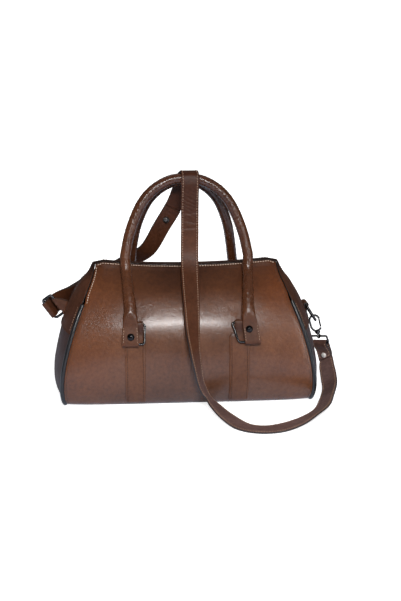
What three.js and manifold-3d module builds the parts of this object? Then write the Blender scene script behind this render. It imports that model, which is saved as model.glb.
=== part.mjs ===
// Leather shoulder bag with two rolled handles and a long clip-on strap.
// Millimetres, +Z up. The origin is the middle of the base and the front faces -Y.
import * as THREE from 'three';
import { mergeVertices } from 'three/addons/utils/BufferGeometryUtils.js';
import Module from 'manifold-3d';

const wasm = await Module();
wasm.setup();

const { Vector2, Vector3 } = THREE;
const { lerp, smoothstep, degToRad } = THREE.MathUtils;
const X_AXIS = new Vector3(1, 0, 0);
const Y_AXIS = new Vector3(0, 1, 0);

// Materials' sizes
const LEATHER = 2; // panels, tabs and ears
const STRIP_LEATHER = 1.6; // ends and zip strips
const ZIP_TAPE = 1.2;
const GAP = 0.3; // between neighbours
const WIRE_RADIUS = 1.5; // rings

// Bag body
const PIPING_RADIUS = 2.7;
const PIPING_TOP = 141; // height where the black piping starts
const SEAM_TUCK = 1.3; // how far the edges stop from a seam without piping
const BARE_SEAM = { from: PIPING_TOP + 9, to: PIPING_TOP + 16 };
const CROSS_SEAM = 104; // where the zip strips meet the lower ends
const ZIP_HALF_WIDTH = 13;
const BASE_SEAM = PIPING_RADIUS + 0.5; // height of the seam round the base
const BASE_DROP = BASE_SEAM - LEATHER / 2; // how far the base lies under that seam

// Carry tabs, handle rings and handles
const TAB = { width: 28, top_width: 17, flat_to: 103, climb: 11, tail: 3 };
const HANDLE_RING = { width: 27, corner: 3 };
const RING_BAR = { top: 117, bottom: 92, top_lift: 5.1, bottom_lift: 7.4 };
const EAR = { width: 22, tail: 1.2, neck: 124, neck_lift: 0.8, rivet_height: 101, lean_from: 128, lean_over: 36 };
const HANDLE_RADIUS = 7.3;
const ROLL_SIDES = 10;
const LEG_HEIGHTS = [180, 165, 150, 138]; // where a leg lies along the panel
const FRONT_HANDLE = { spread: 1, drop: 0 };
const BACK_HANDLE = { spread: 0.87, drop: 5.5 };
const DROP = { from: 225, to: 302 }; // heights over which the back handle sinks
const HANDLE_RIVET_RADIUS = 4.8;

// Rings at the ends of the bag
const END_TAB = { width: 20, foot: 101, climb: 9, tail: 3 };
const END_BAR = { right: 120, right_lift: 5, left: 122, left_lift: 13.8 };
const END_RING = { width: 32, corner: 3 };
const RIGHT_RING = { depth: 26, hang: degToRad(58) };
const LEFT_RING = { depth: 15, tilt: degToRad(35), height: 128 }; // as the strap holds it

// Snap hook and the ring of the strap
const HOOK_LEAN = degToRad(17);
const HOOK = { wire: 1.6, half_width: 7.2, height: 24, barrel_radius: 4, barrel: 4.5, neck: 6 };
const GATE = { radius: 1.2, hinge_v: 6.4, hinge_u: -4, tip_v: 7, tip_u: -15.6 };
const EYE = { radius: 3, wire: 1.1, stem: 1.8, neck: 0.4 };
const STRAP_RING = { width: 29, height: 11, corner: 1.8, turn: degToRad(-50) };

// Shoulder strap
const STRAP = { width: 25, thickness: 2.4, right_fold: 27, left_fold: 295, fold_taper: 16 };
const STRAP_RIVET = { radius: 4.2, seat: 0.45 };
const STRAP_START = 22; // how far it hangs straight from its ring
const STRAP_END = { face: [-0.85, 0.53, 0], reach: 21 }; // how it reaches the left ring

const table = (columns, rows) =>
  rows.map((row) => Object.fromEntries(columns.map((name, i) => [name, row[i]])));

// The seam between a panel and an end, from the lip down to the middle of the base.
// belly: how far the panel swells past its seam. lip_sag: how far its middle droops.
// drop: share of the base's drop under its end seams. end_bulge: how far the ends swell.
const SEAM = table(
  ['half_width', 'half_depth', 'height', 'belly', 'lip_sag', 'drop', 'end_bulge', 'crown'],
  [
    [129.0, 20.0, 194, 4, 7, 0, 4, 2.5],
    [133.0, 33.0, 176.5, 6, 4, 0, 9, 1],
    [139.5, 48.0, 158, 8, 1, 0, 14, 0],
    [149.0, 62.0, 136.5, 9, 0, 0, 17, 0],
    [158.0, 73.0, 114, 10, 0, 0, 17, 0],
    [166.0, 81.0, 90, 9, 0, 0, 16, 0],
    [172.5, 86.5, 65, 7, 0, 0, 15, 0],
    [176.5, 89.0, 40, 5, 0, 0, 15, 0],
    [177.0, 86.0, 18, 3, 0, 0.45, 13, 0],
    [174.0, 76.0, BASE_SEAM, 1, 0, 1, 0, 0],
    [172.0, 50.0, BASE_SEAM, 0, 0, 1, 0, 0],
    [171.0, 25.0, BASE_SEAM, 0, 0, 1, 0, 0],
    [170.0, 0.0, BASE_SEAM, 0, 0, 1, 0, 0],
  ],
);
const HEEL = 9 / 12; // share of the seam above the base

// Half of a handle's roll, from the middle of its arch down to the lip
const ARCH = table(
  ['half_span', 'lean', 'height'],
  [
    [0, 8.8, 310],
    [17, 9.2, 308.5],
    [32, 10.8, 303.2],
    [47, 13.5, 293.6],
    [61, 17.5, 278.2],
    [72, 22, 257],
    [81, 28, 231.6],
    [87, 35, 204],
  ],
);

// How the tabs, rings, ears and rivets lie across the bag at each corner.
// lean: how far the foot of a ring or ear is drawn to the right. rise: how much higher a rivet sits.
const CORNERS = table(
  ['side', 'face', 'tab', 'tab_top', 'ring', 'ring_lean', 'ear', 'ear_lean', 'rivet', 'rivet_rise'],
  [
    [-1, -1, 75.3, 75.5, 76.2, -1.5, 81.2, -0.5, 80.9, 0],
    [1, -1, 69.5, 72.3, 72.5, 9, 82.5, 5, 82.4, 7],
    [-1, 1, 73, 77.3, 78, -1.5, 82.2, -1.5, 82.2, 0],
    [1, 1, 73, 77.3, 78, 1.5, 82.2, 1.5, 82.2, 0],
  ],
);
const cornerAt = (side, face) => CORNERS.find((row) => row.side === side && row.face === face);

// The strap's middle line from its ring, and the way its grain side faces
const ROUTE = table(
  ['x', 'y', 'z', 'face_x', 'face_y', 'face_z'],
  [
    [211.5, -9, 28, -0.5, -0.8, 0.32],
    [210, -30, 19.5, -0.38, -0.58, 0.7],
    [205.5, -60, 14, -0.45, -0.1, 0.88],
    [191, -104, 11, -0.45, 0.12, 0.88],
    [180, -130, 9, -0.35, 0.26, 0.9],
    [163, -151, 7.2, -0.25, 0.26, 0.92],
    [139, -170, 3.4, -0.08, 0.1, 1],
    [110, -185, 1.9, 0, 0, 1],
    [86, -187, 1.9, 0, 0, 1],
    [66, -177, 2.1, 0, 0, 1],
    [49, -151, 4.5, 0.15, -0.05, 0.95],
    [33, -122, 12, 0.5, -0.15, 0.85],
    [23, -111, 22, 0.85, -0.2, 0.45],
    [15, -110, 38, 0.93, -0.35, 0.15],
    [10, -108.5, 62, 0.88, -0.45, 0.05],
    [6, -104, 88, 0.78, -0.6, 0.1],
    [4, -94.5, 113, 0.58, -0.76, 0.2],
    [3.5, -80, 140, 0.42, -0.8, 0.4],
    [3.5, -61.5, 163, 0.22, -0.78, 0.58],
    [4, -40, 184, 0.08, -0.82, 0.55],
    [4.5, -29, 205, 0, -0.95, 0.25],
    [5, -24, 240, 0, -1, 0.12],
    [5.5, -20.5, 282, 0, -1, 0.08],
    [6, -19.6, 305, 0, -0.98, 0.2],
    [6, -15.8, 317.2, 0, -0.65, 0.76],
    [5, -7.5, 320.2, 0, 0, 1],
    [4, 3, 318, 0, 0.24, 0.97],
    [2.5, 13.4, 313.4, 0, 0.52, 0.85],
    [-0.5, 20.8, 304, 0, 0.9, 0.43],
    [-4, 23.5, 292, 0, 0.99, 0.15],
    [-12, 27, 270, -0.05, 1, 0.15],
    [-32, 36, 234, -0.05, 0.96, 0.25],
    [-53, 52, 196, -0.05, 0.9, 0.4],
    [-76, 71, 178, -0.05, 0.86, 0.5],
    [-101, 79, 163, -0.06, 0.85, 0.52],
    [-127, 80, 149, -0.2, 0.83, 0.52],
    [-155, 75, 137, -0.48, 0.7, 0.53],
    [-174, 48, 129, -0.72, 0.6, 0.2],
  ],
);

// A value of a table's column at a share of its length
const columnCurves = (rows) => {
  const names = Object.keys(rows[0]);
  const curveOf = (name) => new THREE.SplineCurve(rows.map((row, i) => new Vector2(i, row[name])));
  const curves = Object.fromEntries(names.map((name) => [name, curveOf(name)]));
  return (name, share) => curves[name].getPoint(share).y;
};
const seamColumn = columnCurves(SEAM);
const archColumn = columnCurves(ARCH);

const NUDGE = 0.004; // share of the seam over which a slope is measured

const steps = (count) => Array.from({ length: count + 1 }, (_, i) => i / count);
const along = (from, direction, distance) => from.clone().addScaledVector(direction, distance);
const square = (value) => value * value;

// Solids

function closedSolid(positions, faces) {
  let volume = 0;
  const corner = (i) => new Vector3().fromArray(positions, 3 * faces[i]);
  for (let i = 0; i < faces.length; i += 3) {
    volume += corner(i).dot(corner(i + 1).cross(corner(i + 2)));
  }
  const geometry = new THREE.BufferGeometry();
  geometry.setAttribute('position', new THREE.Float32BufferAttribute(positions, 3));
  geometry.setIndex(volume > 0 ? faces : [...faces].reverse());
  return geometry;
}

// A solid through loops of the same even number of points, closed by a cap at each end
function loft(sections, isRing = false) {
  const count = sections[0].length;
  const positions = sections.flat().flatMap((point) => point.toArray());
  const faces = [];
  const spans = isRing ? sections.length : sections.length - 1;
  for (let i = 0; i < spans; i += 1) {
    const a = i * count;
    const b = ((i + 1) % sections.length) * count;
    for (let j = 0; j < count; j += 1) {
      const k = (j + 1) % count;
      faces.push(a + j, b + j, b + k, a + j, b + k, a + k);
    }
  }
  const end = (sections.length - 1) * count;
  for (let j = 0; j < count / 2 - 1 && !isRing; j += 1) {
    const far = count - 1 - j;
    faces.push(j, j + 1, far - 1, j, far - 1, far);
    faces.push(end + j, end + far - 1, end + j + 1, end + j, end + far, end + far - 1);
  }
  return closedSolid(positions, faces);
}

// A wall of even thickness on both sides of a grid of points
function wall(grid, thickness) {
  const rowCount = grid.length;
  const columnCount = grid[0].length;
  const at = (i, j) => {
    const row = Math.min(Math.max(i, 0), rowCount - 1);
    return grid[row][Math.min(Math.max(j, 0), columnCount - 1)];
  };
  const sections = grid.map((row, i) => {
    const normals = row.map((_, j) => {
      const down = at(i + 1, j).clone().sub(at(i - 1, j));
      const across = at(i, j + 1).clone().sub(at(i, j - 1));
      return down.cross(across).normalize();
    });
    const outer = row.map((point, j) => along(point, normals[j], thickness / 2));
    const inner = row.map((point, j) => along(point, normals[j], -thickness / 2));
    return [...outer, ...inner.reverse()];
  });
  return loft(sections);
}

function tangents(path, isRing = false) {
  const last = path.length - 1;
  return path.map((_, i) => {
    const before = isRing ? path[(i + last) % path.length] : path[Math.max(i - 1, 0)];
    const after = isRing ? path[(i + 1) % path.length] : path[Math.min(i + 1, last)];
    return after.clone().sub(before).normalize();
  });
}

// A round wire or roll along a path
function rod(path, radius, sides, isRing = false) {
  const ways = tangents(path, isRing);
  const start = Math.abs(ways[0].y) < 0.9 ? Y_AXIS : X_AXIS;
  let normal = start.clone();
  const sections = path.map((point, i) => {
    normal = normal.clone().projectOnPlane(ways[i]).normalize();
    const other = new Vector3().crossVectors(ways[i], normal);
    return Array.from({ length: sides }, (_, j) => {
      const angle = (2 * Math.PI * j) / sides;
      const rim = along(point, normal, radius * Math.cos(angle));
      return rim.addScaledVector(other, radius * Math.sin(angle));
    });
  });
  return loft(sections, isRing);
}

// A flat strap along a path; sides holds the direction of its width at each point
function strip(path, sides, widths, thickness) {
  const ways = tangents(path);
  const sections = path.map((point, i) => {
    const side = sides[i];
    const face = new Vector3().crossVectors(ways[i], side).normalize();
    const corners = [[1, 1], [-1, 1], [-1, -1], [1, -1]];
    return corners.map(([s, f]) => {
      const edge = along(point, side, (s * widths[i]) / 2);
      return edge.addScaledVector(face, (f * thickness) / 2);
    });
  });
  return loft(sections);
}

// Corners of a rectangle with round corners, as [across, along] pairs
function roundedLoop(width, height, radius) {
  const centres = [[1, 1], [-1, 1], [-1, -1], [1, -1]];
  return centres.flatMap(([across, up], quarter) =>
    steps(2).map((share) => {
      const angle = ((quarter + share) * Math.PI) / 2;
      const x = across * (width / 2 - radius) + radius * Math.cos(angle);
      return [x, up * (height / 2 - radius) + radius * Math.sin(angle)];
    }),
  );
}

function wireRing(centre, acrossAxis, alongAxis, width, height, radius) {
  const path = roundedLoop(width, height, radius).map(([a, b]) =>
    along(along(centre, acrossAxis, a), alongAxis, b),
  );
  return rod(path, WIRE_RADIUS, 6, true);
}

// A strip that runs at one lift over a surface, climbs over a bar and ends as a tail behind it.
// Gives [distance, lift] pairs; distances grow towards the bar.
function foldOverBar({ start, climb, low, bar, bar_lift: barLift, tail }) {
  const wrap = WIRE_RADIUS + GAP + LEATHER / 2;
  const sign = Math.sign(bar - start);
  const front = barLift + wrap;
  const rise = steps(4).map((share) => {
    const lift = lerp(low, front, smoothstep(share, 0, 1));
    return [bar - sign * climb * (1 - share), lift];
  });
  const over = steps(6).slice(1).map((share) => {
    const angle = Math.PI * share;
    return [bar + sign * wrap * Math.sin(angle), barLift + wrap * Math.cos(angle)];
  });
  return [...rise, ...over, [bar - sign * tail, barLift - wrap]];
}

// A domed rivet head that sits on a face
function rivetHead(seat, facing, radius) {
  const profile = [[0, 0], [1, 0], [1, 0.25], [0.72, 0.5], [0.36, 0.62], [0, 0.66]];
  const points = profile.map(([r, h]) => new Vector2(r * radius, h * radius));
  const geometry = new THREE.LatheGeometry(points, 8);
  const turn = new THREE.Quaternion().setFromUnitVectors(Y_AXIS, facing);
  geometry.applyQuaternion(turn);
  return welded(geometry.translate(...along(seat, facing, GAP).toArray()));
}

function welded(geometry) {
  geometry.deleteAttribute('normal');
  geometry.deleteAttribute('uv');
  return mergeVertices(geometry, 1e-4);
}

// One solid from several that overlap
function joined(geometries) {
  const solids = geometries.map((geometry) => {
    const vertProperties = new Float32Array(geometry.attributes.position.array);
    const triVerts = new Uint32Array(geometry.index.array);
    return new wasm.Manifold(new wasm.Mesh({ numProp: 3, vertProperties, triVerts }));
  });
  const mesh = solids.reduce((sum, solid) => sum.add(solid)).getMesh();
  return closedSolid([...mesh.vertProperties], [...mesh.triVerts]);
}

// Surfaces of the bag

// Share of the seam at a height above the base
function seamShare(height) {
  let low = 0;
  let high = HEEL;
  for (let i = 0; i < 40; i += 1) {
    const middle = (low + high) / 2;
    if (seamColumn('height', middle) > height) low = middle;
    else high = middle;
  }
  return low;
}

const seamHeight = (share) => Math.max(seamColumn('height', share), BASE_SEAM);

function seamPoint(side, face, share) {
  const x = side * seamColumn('half_width', share);
  return new Vector3(x, face * seamColumn('half_depth', share), seamHeight(share));
}

// How far an edge stops from the seam's line, more where the piping lies between
function seamInset(share) {
  const bare = smoothstep(seamHeight(share), BARE_SEAM.from, BARE_SEAM.to);
  return lerp(PIPING_RADIUS + GAP, SEAM_TUCK, bare);
}

// The same distance measured along the depth of an end, where the seam slants
function endInset(share) {
  const above = seamPoint(1, 1, Math.max(share - NUDGE, 0));
  const slope = seamPoint(1, 1, share + NUDGE).sub(above);
  return (seamInset(share) * Math.hypot(slope.y, slope.z)) / Math.abs(slope.z);
}

// Middle of the panel's wall; face is -1 in front and 1 behind
function panelPoint(x, face, share) {
  const across = x / seamColumn('half_width', share);
  const fullness = 1 - square(across);
  const depth = seamColumn('half_depth', share) + seamColumn('belly', share) * fullness;
  const flatness = 1 - square(square(square(across)));
  const baseDrop = BASE_DROP * Math.min(seamColumn('drop', share), 1) * flatness;
  const z = seamHeight(share) - seamColumn('lip_sag', share) * fullness - baseDrop;
  return new Vector3(x, face * depth, z);
}

// A point over the panel at a height, lifted off the middle of its wall
function overPanel(x, face, height, lift) {
  const share = seamShare(height);
  const down = panelPoint(x, face, share + NUDGE).sub(panelPoint(x, face, share - NUDGE));
  const outward = new Vector3(0, -down.z, down.y).normalize().multiplyScalar(face);
  return along(panelPoint(x, face, share), outward, lift);
}

// The way across the panel at a place, level with its surface
function acrossPanel(x, face, height) {
  const share = seamShare(height);
  return panelPoint(x + 1, face, share).sub(panelPoint(x - 1, face, share)).normalize();
}

// Middle of an end's wall; across runs from -1 at the front seam to 1 at the back seam
function endPoint(side, share, across) {
  const fullness = 1 - square(across);
  const x = seamColumn('half_width', share) + seamColumn('end_bulge', share) * fullness;
  const z = seamHeight(share) + seamColumn('crown', share) * fullness;
  return new Vector3(side * x, across * seamColumn('half_depth', share), z);
}

// The zip band across the mouth, between the lips
function mouthPoint(x, across) {
  const nearEnd = square(x / SEAM[0].half_width);
  const depth = SEAM[0].half_depth + SEAM[0].belly * (1 - nearEnd);
  const crown = SEAM[0].crown * square(nearEnd) * (1 - square(across));
  return new Vector3(x, across * depth, SEAM[0].height - SEAM[0].lip_sag * (1 - nearEnd) + crown);
}

// Pieces of the body

function mainPanel() {
  const rows = steps(40).map((share) => 2 * share - 1);
  return wall(
    rows.map((row) => {
      const share = 1 - Math.abs(row);
      const reach = seamColumn('half_width', share) - seamInset(share);
      return steps(14).map((s) => panelPoint((2 * s - 1) * reach, Math.sign(row) || 1, share));
    }),
    LEATHER,
  );
}

function lowerEnd(side) {
  const top = CROSS_SEAM - STRIP_LEATHER / 2;
  const foot = BASE_SEAM + PIPING_RADIUS + LEATHER + GAP;
  const rows = steps(11).map((share) => {
    const seam = seamShare(lerp(top, foot, share));
    const depth = seamColumn('half_depth', seam);
    const reach = 1 - (endInset(seam) + GAP) / depth;
    return steps(10).map((s) => endPoint(side, seam, (2 * s - 1) * reach));
  });
  return wall(rows, STRIP_LEATHER);
}

function piping(side) {
  const top = seamShare(PIPING_TOP);
  const shares = steps(19).map((step) => lerp(top, 1, step));
  const front = shares.map((share) => seamPoint(side, -1, share));
  const back = shares.slice(0, -1).map((share) => seamPoint(side, 1, share));
  return rod([...front, ...back.reverse()], PIPING_RADIUS, 6);
}

// Stations of the zip band from the left end over the mouth to the right end
const bandStations = () => {
  const foot = seamShare(CROSS_SEAM + STRIP_LEATHER / 2 + GAP);
  const climb = steps(8).map((step) => lerp(foot, 0, step));
  const end = (side) => (share) => ({
    depth: seamColumn('half_depth', share),
    at: (across) => endPoint(side, share, across),
    inset: endInset(share),
  });
  const mouthReach = SEAM[0].half_width - 10;
  const mouth = steps(10).map((step) => {
    const x = lerp(-mouthReach, mouthReach, step);
    const depth = mouthPoint(x, 1).y;
    return { depth, at: (across) => mouthPoint(x, across), inset: SEAM_TUCK };
  });
  return [...climb.map(end(-1)), ...mouth, ...climb.reverse().map(end(1))];
};

function zipStrip(face) {
  const grid = bandStations().map(({ depth, at, inset }) =>
    steps(2).map((s) => at((face * lerp(depth - inset, ZIP_HALF_WIDTH + GAP, s)) / depth)),
  );
  return wall(grid, STRIP_LEATHER);
}

function zipTape() {
  const grid = bandStations().map(({ depth, at }) =>
    steps(2).map((s) => at((ZIP_HALF_WIDTH * (2 * s - 1)) / depth)),
  );
  return wall(grid, ZIP_TAPE);
}

// Carry tabs, rings and handles

const TAB_LIFT = LEATHER + GAP; // middle of a tab that lies on the panel

function carryTab(side, face) {
  const { top, top_lift } = RING_BAR;
  const foot = seamShare(BASE_SEAM + 6);
  const run = steps(14).map((step) => lerp(seamHeight(foot), TAB.flat_to, step));
  const { tab, tab_top } = cornerAt(side, face);
  const flat = run.map((height) => [height, TAB_LIFT, tab, TAB.width]);
  const fold = foldOverBar({
    start: run[0], climb: TAB.climb, low: TAB_LIFT, bar: top, bar_lift: top_lift, tail: TAB.tail,
  }).map(([height, lift]) => [height, lift, tab_top, TAB.top_width]);
  const rows = [...flat, ...fold];
  const path = rows.map(([height, lift, x]) => overPanel(side * x, face, height, lift));
  const sides = rows.map(([height, , x]) => acrossPanel(side * x, face, height));
  return strip(path, sides, rows.map((row) => row[3]), LEATHER);
}

function handleRing(side, face) {
  const { ring, ring_lean } = cornerAt(side, face);
  const top = overPanel(side * ring, face, RING_BAR.top, RING_BAR.top_lift);
  const foot = overPanel(side * ring + ring_lean, face, RING_BAR.bottom, RING_BAR.bottom_lift);
  const hang = foot.clone().sub(top);
  const middle = top.clone().add(foot).multiplyScalar(0.5);
  const height = hang.length();
  const across = acrossPanel(side * ring, face, RING_BAR.top);
  return wireRing(middle, across, hang.normalize(), HANDLE_RING.width, height, HANDLE_RING.corner);
}

// Rows of half a handle from the middle of its arch to the tail of its ear
function halfHandle(side, face, { spread, drop }) {
  const { bottom, bottom_lift } = RING_BAR;
  const corner = cornerAt(side, face);
  const earLift = bottom_lift + WIRE_RADIUS + GAP + LEATHER / 2;
  const roll = { half_width: HANDLE_RADIUS, half_thick: HANDLE_RADIUS, squareness: 2 };
  const ear = { half_width: EAR.width / 2, half_thick: LEATHER / 2, squareness: 8 };
  const arch = steps(10).map((share) => {
    const x = side * spread * archColumn('half_span', share);
    const y = face * archColumn('lean', share);
    const height = archColumn('height', share);
    const z = height - drop * smoothstep(height, DROP.from, DROP.to);
    return { point: new Vector3(x, y, z), ...roll };
  });
  const lip = spread * ARCH.at(-1).half_span;
  const leg = LEG_HEIGHTS.map((height, i) => {
    const x = lerp(lip, corner.ear, (i + 1) / LEG_HEIGHTS.length);
    return { point: overPanel(side * x, face, height, earLift), ...roll };
  });
  const fold = foldOverBar({
    start: EAR.neck + 1, climb: EAR.neck - bottom, low: earLift, bar: bottom, bar_lift: bottom_lift,
    tail: EAR.tail,
  });
  const flat = fold.map(([height, lift], i) => {
    const swell = i === 0 ? EAR.neck_lift : 0;
    const lean = corner.ear_lean * Math.min((EAR.lean_from - height) / EAR.lean_over, 1);
    const point = overPanel(side * corner.ear + lean, face, height, lift + swell);
    return { point, ...ear, half_thick: LEATHER / 2 + swell };
  });
  return [...arch, ...leg, ...flat];
}

function handle(face, form) {
  const halves = [-1, 1].map((side) => halfHandle(side, face, form));
  const rows = [...halves[0].reverse(), ...halves[1].slice(1)];
  const path = rows.map((row) => row.point);
  const ways = tangents(path);
  const depth = new Vector3(0, face, 0);
  let across = X_AXIS.clone();
  const sections = rows.map((row, i) => {
    const onArch = row.squareness === 2;
    const level = acrossPanel(row.point.x, face, EAR.rivet_height);
    const wanted = onArch ? new Vector3().crossVectors(ways[i], depth) : level;
    if (wanted.dot(across) < 0) wanted.negate();
    across = wanted.projectOnPlane(ways[i]).normalize();
    const outward = new Vector3().crossVectors(ways[i], across);
    return Array.from({ length: ROLL_SIDES }, (_, j) => {
      const angle = (2 * Math.PI * (j + 0.5)) / ROLL_SIDES;
      const bend = (value) => Math.sign(value) * Math.abs(value) ** (2 / row.squareness);
      const rim = along(row.point, across, row.half_width * bend(Math.cos(angle)));
      return rim.addScaledVector(outward, row.half_thick * bend(Math.sin(angle)));
    });
  });
  return loft(sections);
}

function handleRivet(side, face) {
  const faceLift = RING_BAR.bottom_lift + WIRE_RADIUS + GAP + LEATHER;
  const { rivet, rivet_rise } = cornerAt(side, face);
  const seat = overPanel(side * rivet, face, EAR.rivet_height + rivet_rise, faceLift);
  const base = overPanel(side * rivet, face, EAR.rivet_height + rivet_rise, 0);
  return rivetHead(seat, seat.clone().sub(base).normalize(), HANDLE_RIVET_RADIUS);
}

// Rings on the ends of the bag

const END_LIFT = (STRIP_LEATHER + LEATHER) / 2 + GAP;

// A point over the middle of an end at a height, lifted off its wall
function overEnd(side, height, lift) {
  const share = seamShare(height);
  const down = endPoint(side, share + NUDGE, 0).sub(endPoint(side, share - NUDGE, 0));
  const outward = new Vector3(-down.z * side, 0, down.x * side).normalize();
  return along(endPoint(side, share, 0), outward, lift);
}

const rightBar = overEnd(1, END_BAR.right, END_BAR.right_lift);
const ringHang = new Vector3(Math.cos(RIGHT_RING.hang), 0, -Math.sin(RIGHT_RING.hang));
const rightRingFoot = along(rightBar, ringHang, RIGHT_RING.depth);
const leftBar = overEnd(-1, END_BAR.left, END_BAR.left_lift);
leftBar.z = LEFT_RING.height;
const leftDown = new Vector3(-Math.cos(LEFT_RING.tilt), 0, -Math.sin(LEFT_RING.tilt));
const leftAcross = new Vector3(-Math.sin(LEFT_RING.tilt), 0, Math.cos(LEFT_RING.tilt));
const leftRingFoot = along(leftBar, leftDown, LEFT_RING.depth);

// The right tab lies up the end and folds over the bar of its ring
function rightEndTab() {
  const fold = foldOverBar({
    start: END_TAB.foot, climb: END_TAB.climb, low: END_LIFT, bar: END_BAR.right,
    bar_lift: END_BAR.right_lift, tail: END_TAB.tail,
  });
  const path = [[END_TAB.foot, END_LIFT], ...fold].map(([height, lift]) => overEnd(1, height, lift));
  return strip(path, path.map(() => Y_AXIS), path.map(() => END_TAB.width), LEATHER);
}

// The left tab stands out sideways, so its ring can follow the pull of the strap
function leftEndTab() {
  const wrap = WIRE_RADIUS + GAP + LEATHER / 2;
  const root = overEnd(-1, END_BAR.left, STRIP_LEATHER / 2 + 2 * GAP);
  const above = overEnd(-1, END_BAR.left + 1, 0);
  const slope = overEnd(-1, END_BAR.left - 1, 0).sub(above).normalize();
  const bend = steps(6).map((share) => {
    const angle = Math.PI * (0.5 + share);
    const rim = along(leftBar, leftDown, -wrap * Math.cos(angle));
    return rim.addScaledVector(Y_AXIS, wrap * Math.sin(angle));
  });
  const path = [along(root, Y_AXIS, wrap), ...bend, along(root, Y_AXIS, -wrap)];
  const upright = leftAcross.clone().negate();
  const sides = path.map((_, i) => (i % (path.length - 1) === 0 ? slope : upright));
  return strip(path, sides, path.map(() => END_TAB.width), LEATHER);
}

function endRing(bar, foot, acrossAxis) {
  const middle = bar.clone().add(foot).multiplyScalar(0.5);
  const hang = foot.clone().sub(bar).normalize();
  return wireRing(middle, acrossAxis, hang, END_RING.width, foot.distanceTo(bar), END_RING.corner);
}

// Snap hook: u runs down the chain from the barrel's top and v to its right

const chainDown = new Vector3(Math.sin(HOOK_LEAN), 0, -Math.cos(HOOK_LEAN));
const chainRight = new Vector3(Math.cos(HOOK_LEAN), 0, Math.sin(HOOK_LEAN));
const hookReach = HOOK.height - WIRE_RADIUS - HOOK.wire - GAP;
const hookTop = along(rightRingFoot, chainDown, hookReach);
const onHook = (v, u) => along(along(hookTop, chainDown, u), chainRight, v);

function barrel(from, to, radius) {
  return rod([onHook(0, from), onHook(0, to)], radius, 12);
}

function snapHook() {
  const { half_width, height, wire, neck } = HOOK;
  const bend = steps(9).map((share) => {
    const angle = Math.PI * (1 - share);
    const v = half_width * Math.cos(angle);
    return onHook(v, -height + half_width * (1 - Math.sin(angle)));
  });
  const root = onHook(0, 1);
  const shank = [root, onHook(-half_width * 0.7, -neck * 0.37), onHook(-half_width, -neck)];
  const heel = [root, onHook(GATE.hinge_v - 1, -neck / 5)];
  const frame = rod([...shank, ...bend], wire, 8);
  return joined([frame, rod(heel, wire, 8), barrel(0, HOOK.barrel, HOOK.barrel_radius)]);
}

function hookGate() {
  const { hinge_v, hinge_u, tip_v, tip_u, radius } = GATE;
  return rod([onHook(hinge_v, hinge_u), onHook(tip_v, tip_u)], radius, 8);
}

// The lower half of the swivel turns the strap's ring away from the hook
const eyeCentre = HOOK.barrel + GAP + EYE.wire + EYE.radius + EYE.neck;
const ringAcross = Y_AXIS.clone().applyAxisAngle(chainDown, STRAP_RING.turn);
const eyeAcross = new Vector3().crossVectors(chainDown, ringAcross).normalize();
const ringTopBar = eyeCentre + EYE.radius - EYE.wire - WIRE_RADIUS - GAP;
const strapBar = onHook(0, ringTopBar + STRAP_RING.height);

function swivelEye() {
  const centre = onHook(0, eyeCentre);
  const loop = steps(12).slice(1).map((share) => {
    const angle = 2 * Math.PI * share;
    const rim = along(centre, eyeAcross, EYE.radius * Math.cos(angle));
    return rim.addScaledVector(chainDown, EYE.radius * Math.sin(angle));
  });
  const stem = barrel(HOOK.barrel + GAP, eyeCentre - EYE.radius + EYE.wire / 3, EYE.stem);
  return joined([rod(loop, EYE.wire, 6, true), stem]);
}

function strapRing() {
  const centre = onHook(0, ringTopBar + STRAP_RING.height / 2);
  return wireRing(centre, ringAcross, chainDown, STRAP_RING.width, STRAP_RING.height, STRAP_RING.corner);
}

// Shoulder strap

const WRAP = WIRE_RADIUS + 2 * GAP + STRAP.thickness / 2;
const LAYERS = STRAP.thickness + GAP;
const ROUTE_SAMPLES = 126;

// Middle points and grain directions from the strap's ring to the left end ring
function strapRoute() {
  const rows = ROUTE.map((row) => ({
    point: new Vector3(row.x, row.y, row.z),
    face: new Vector3(row.face_x, row.face_y, row.face_z).normalize(),
  }));
  const startFace = new Vector3().crossVectors(ringAcross, chainDown).normalize();
  if (startFace.y > 0) startFace.negate();
  const endFace = new Vector3(...STRAP_END.face).projectOnPlane(leftAcross).normalize();
  const endWay = new Vector3().crossVectors(endFace, leftAcross).normalize();
  if (endWay.y < 0) endWay.negate();
  const first = { point: along(strapBar, startFace, -WRAP), face: startFace };
  const last = { point: along(leftRingFoot, endFace, WRAP), face: endFace };
  const nearFirst = { point: along(first.point, chainDown, STRAP_START), face: startFace };
  const nearLast = { point: along(last.point, endWay, STRAP_END.reach), face: endFace };
  const whole = [first, nearFirst, ...rows, nearLast, last];
  const line = new THREE.CatmullRomCurve3(whole.map((row) => row.point), false, 'centripetal');
  const faces = new THREE.CatmullRomCurve3(whole.map((row) => row.face), false, 'centripetal');
  return steps(ROUTE_SAMPLES).map((share) => {
    const t = line.getUtoTmapping(share);
    return { point: line.getPoint(t), face: faces.getPoint(t).normalize() };
  });
}

// The layer that comes back from a fold along the inside or outside of the route
function foldedBack(route, bar, length, sign) {
  let reach = 0;
  const rows = [];
  route.forEach((row, i) => {
    if (i > 0) reach += row.point.distanceTo(route[i - 1].point);
    if (reach > length) return;
    const spread = lerp(2 * WRAP, LAYERS, smoothstep(reach, 0, STRAP.fold_taper));
    rows.push({ point: along(row.point, row.face, sign * spread), face: row.face });
  });
  const start = route[0].point.clone().sub(bar).normalize();
  const way = route[0].point.clone().sub(route[1].point).projectOnPlane(start).normalize();
  const turn = steps(6).slice(1, -1).map((share) => {
    const angle = Math.PI * share;
    const rim = along(bar, start, WRAP * Math.cos(angle));
    return { point: rim.addScaledVector(way, WRAP * Math.sin(angle)), face: route[0].face };
  });
  return [...turn, ...rows];
}

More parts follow.
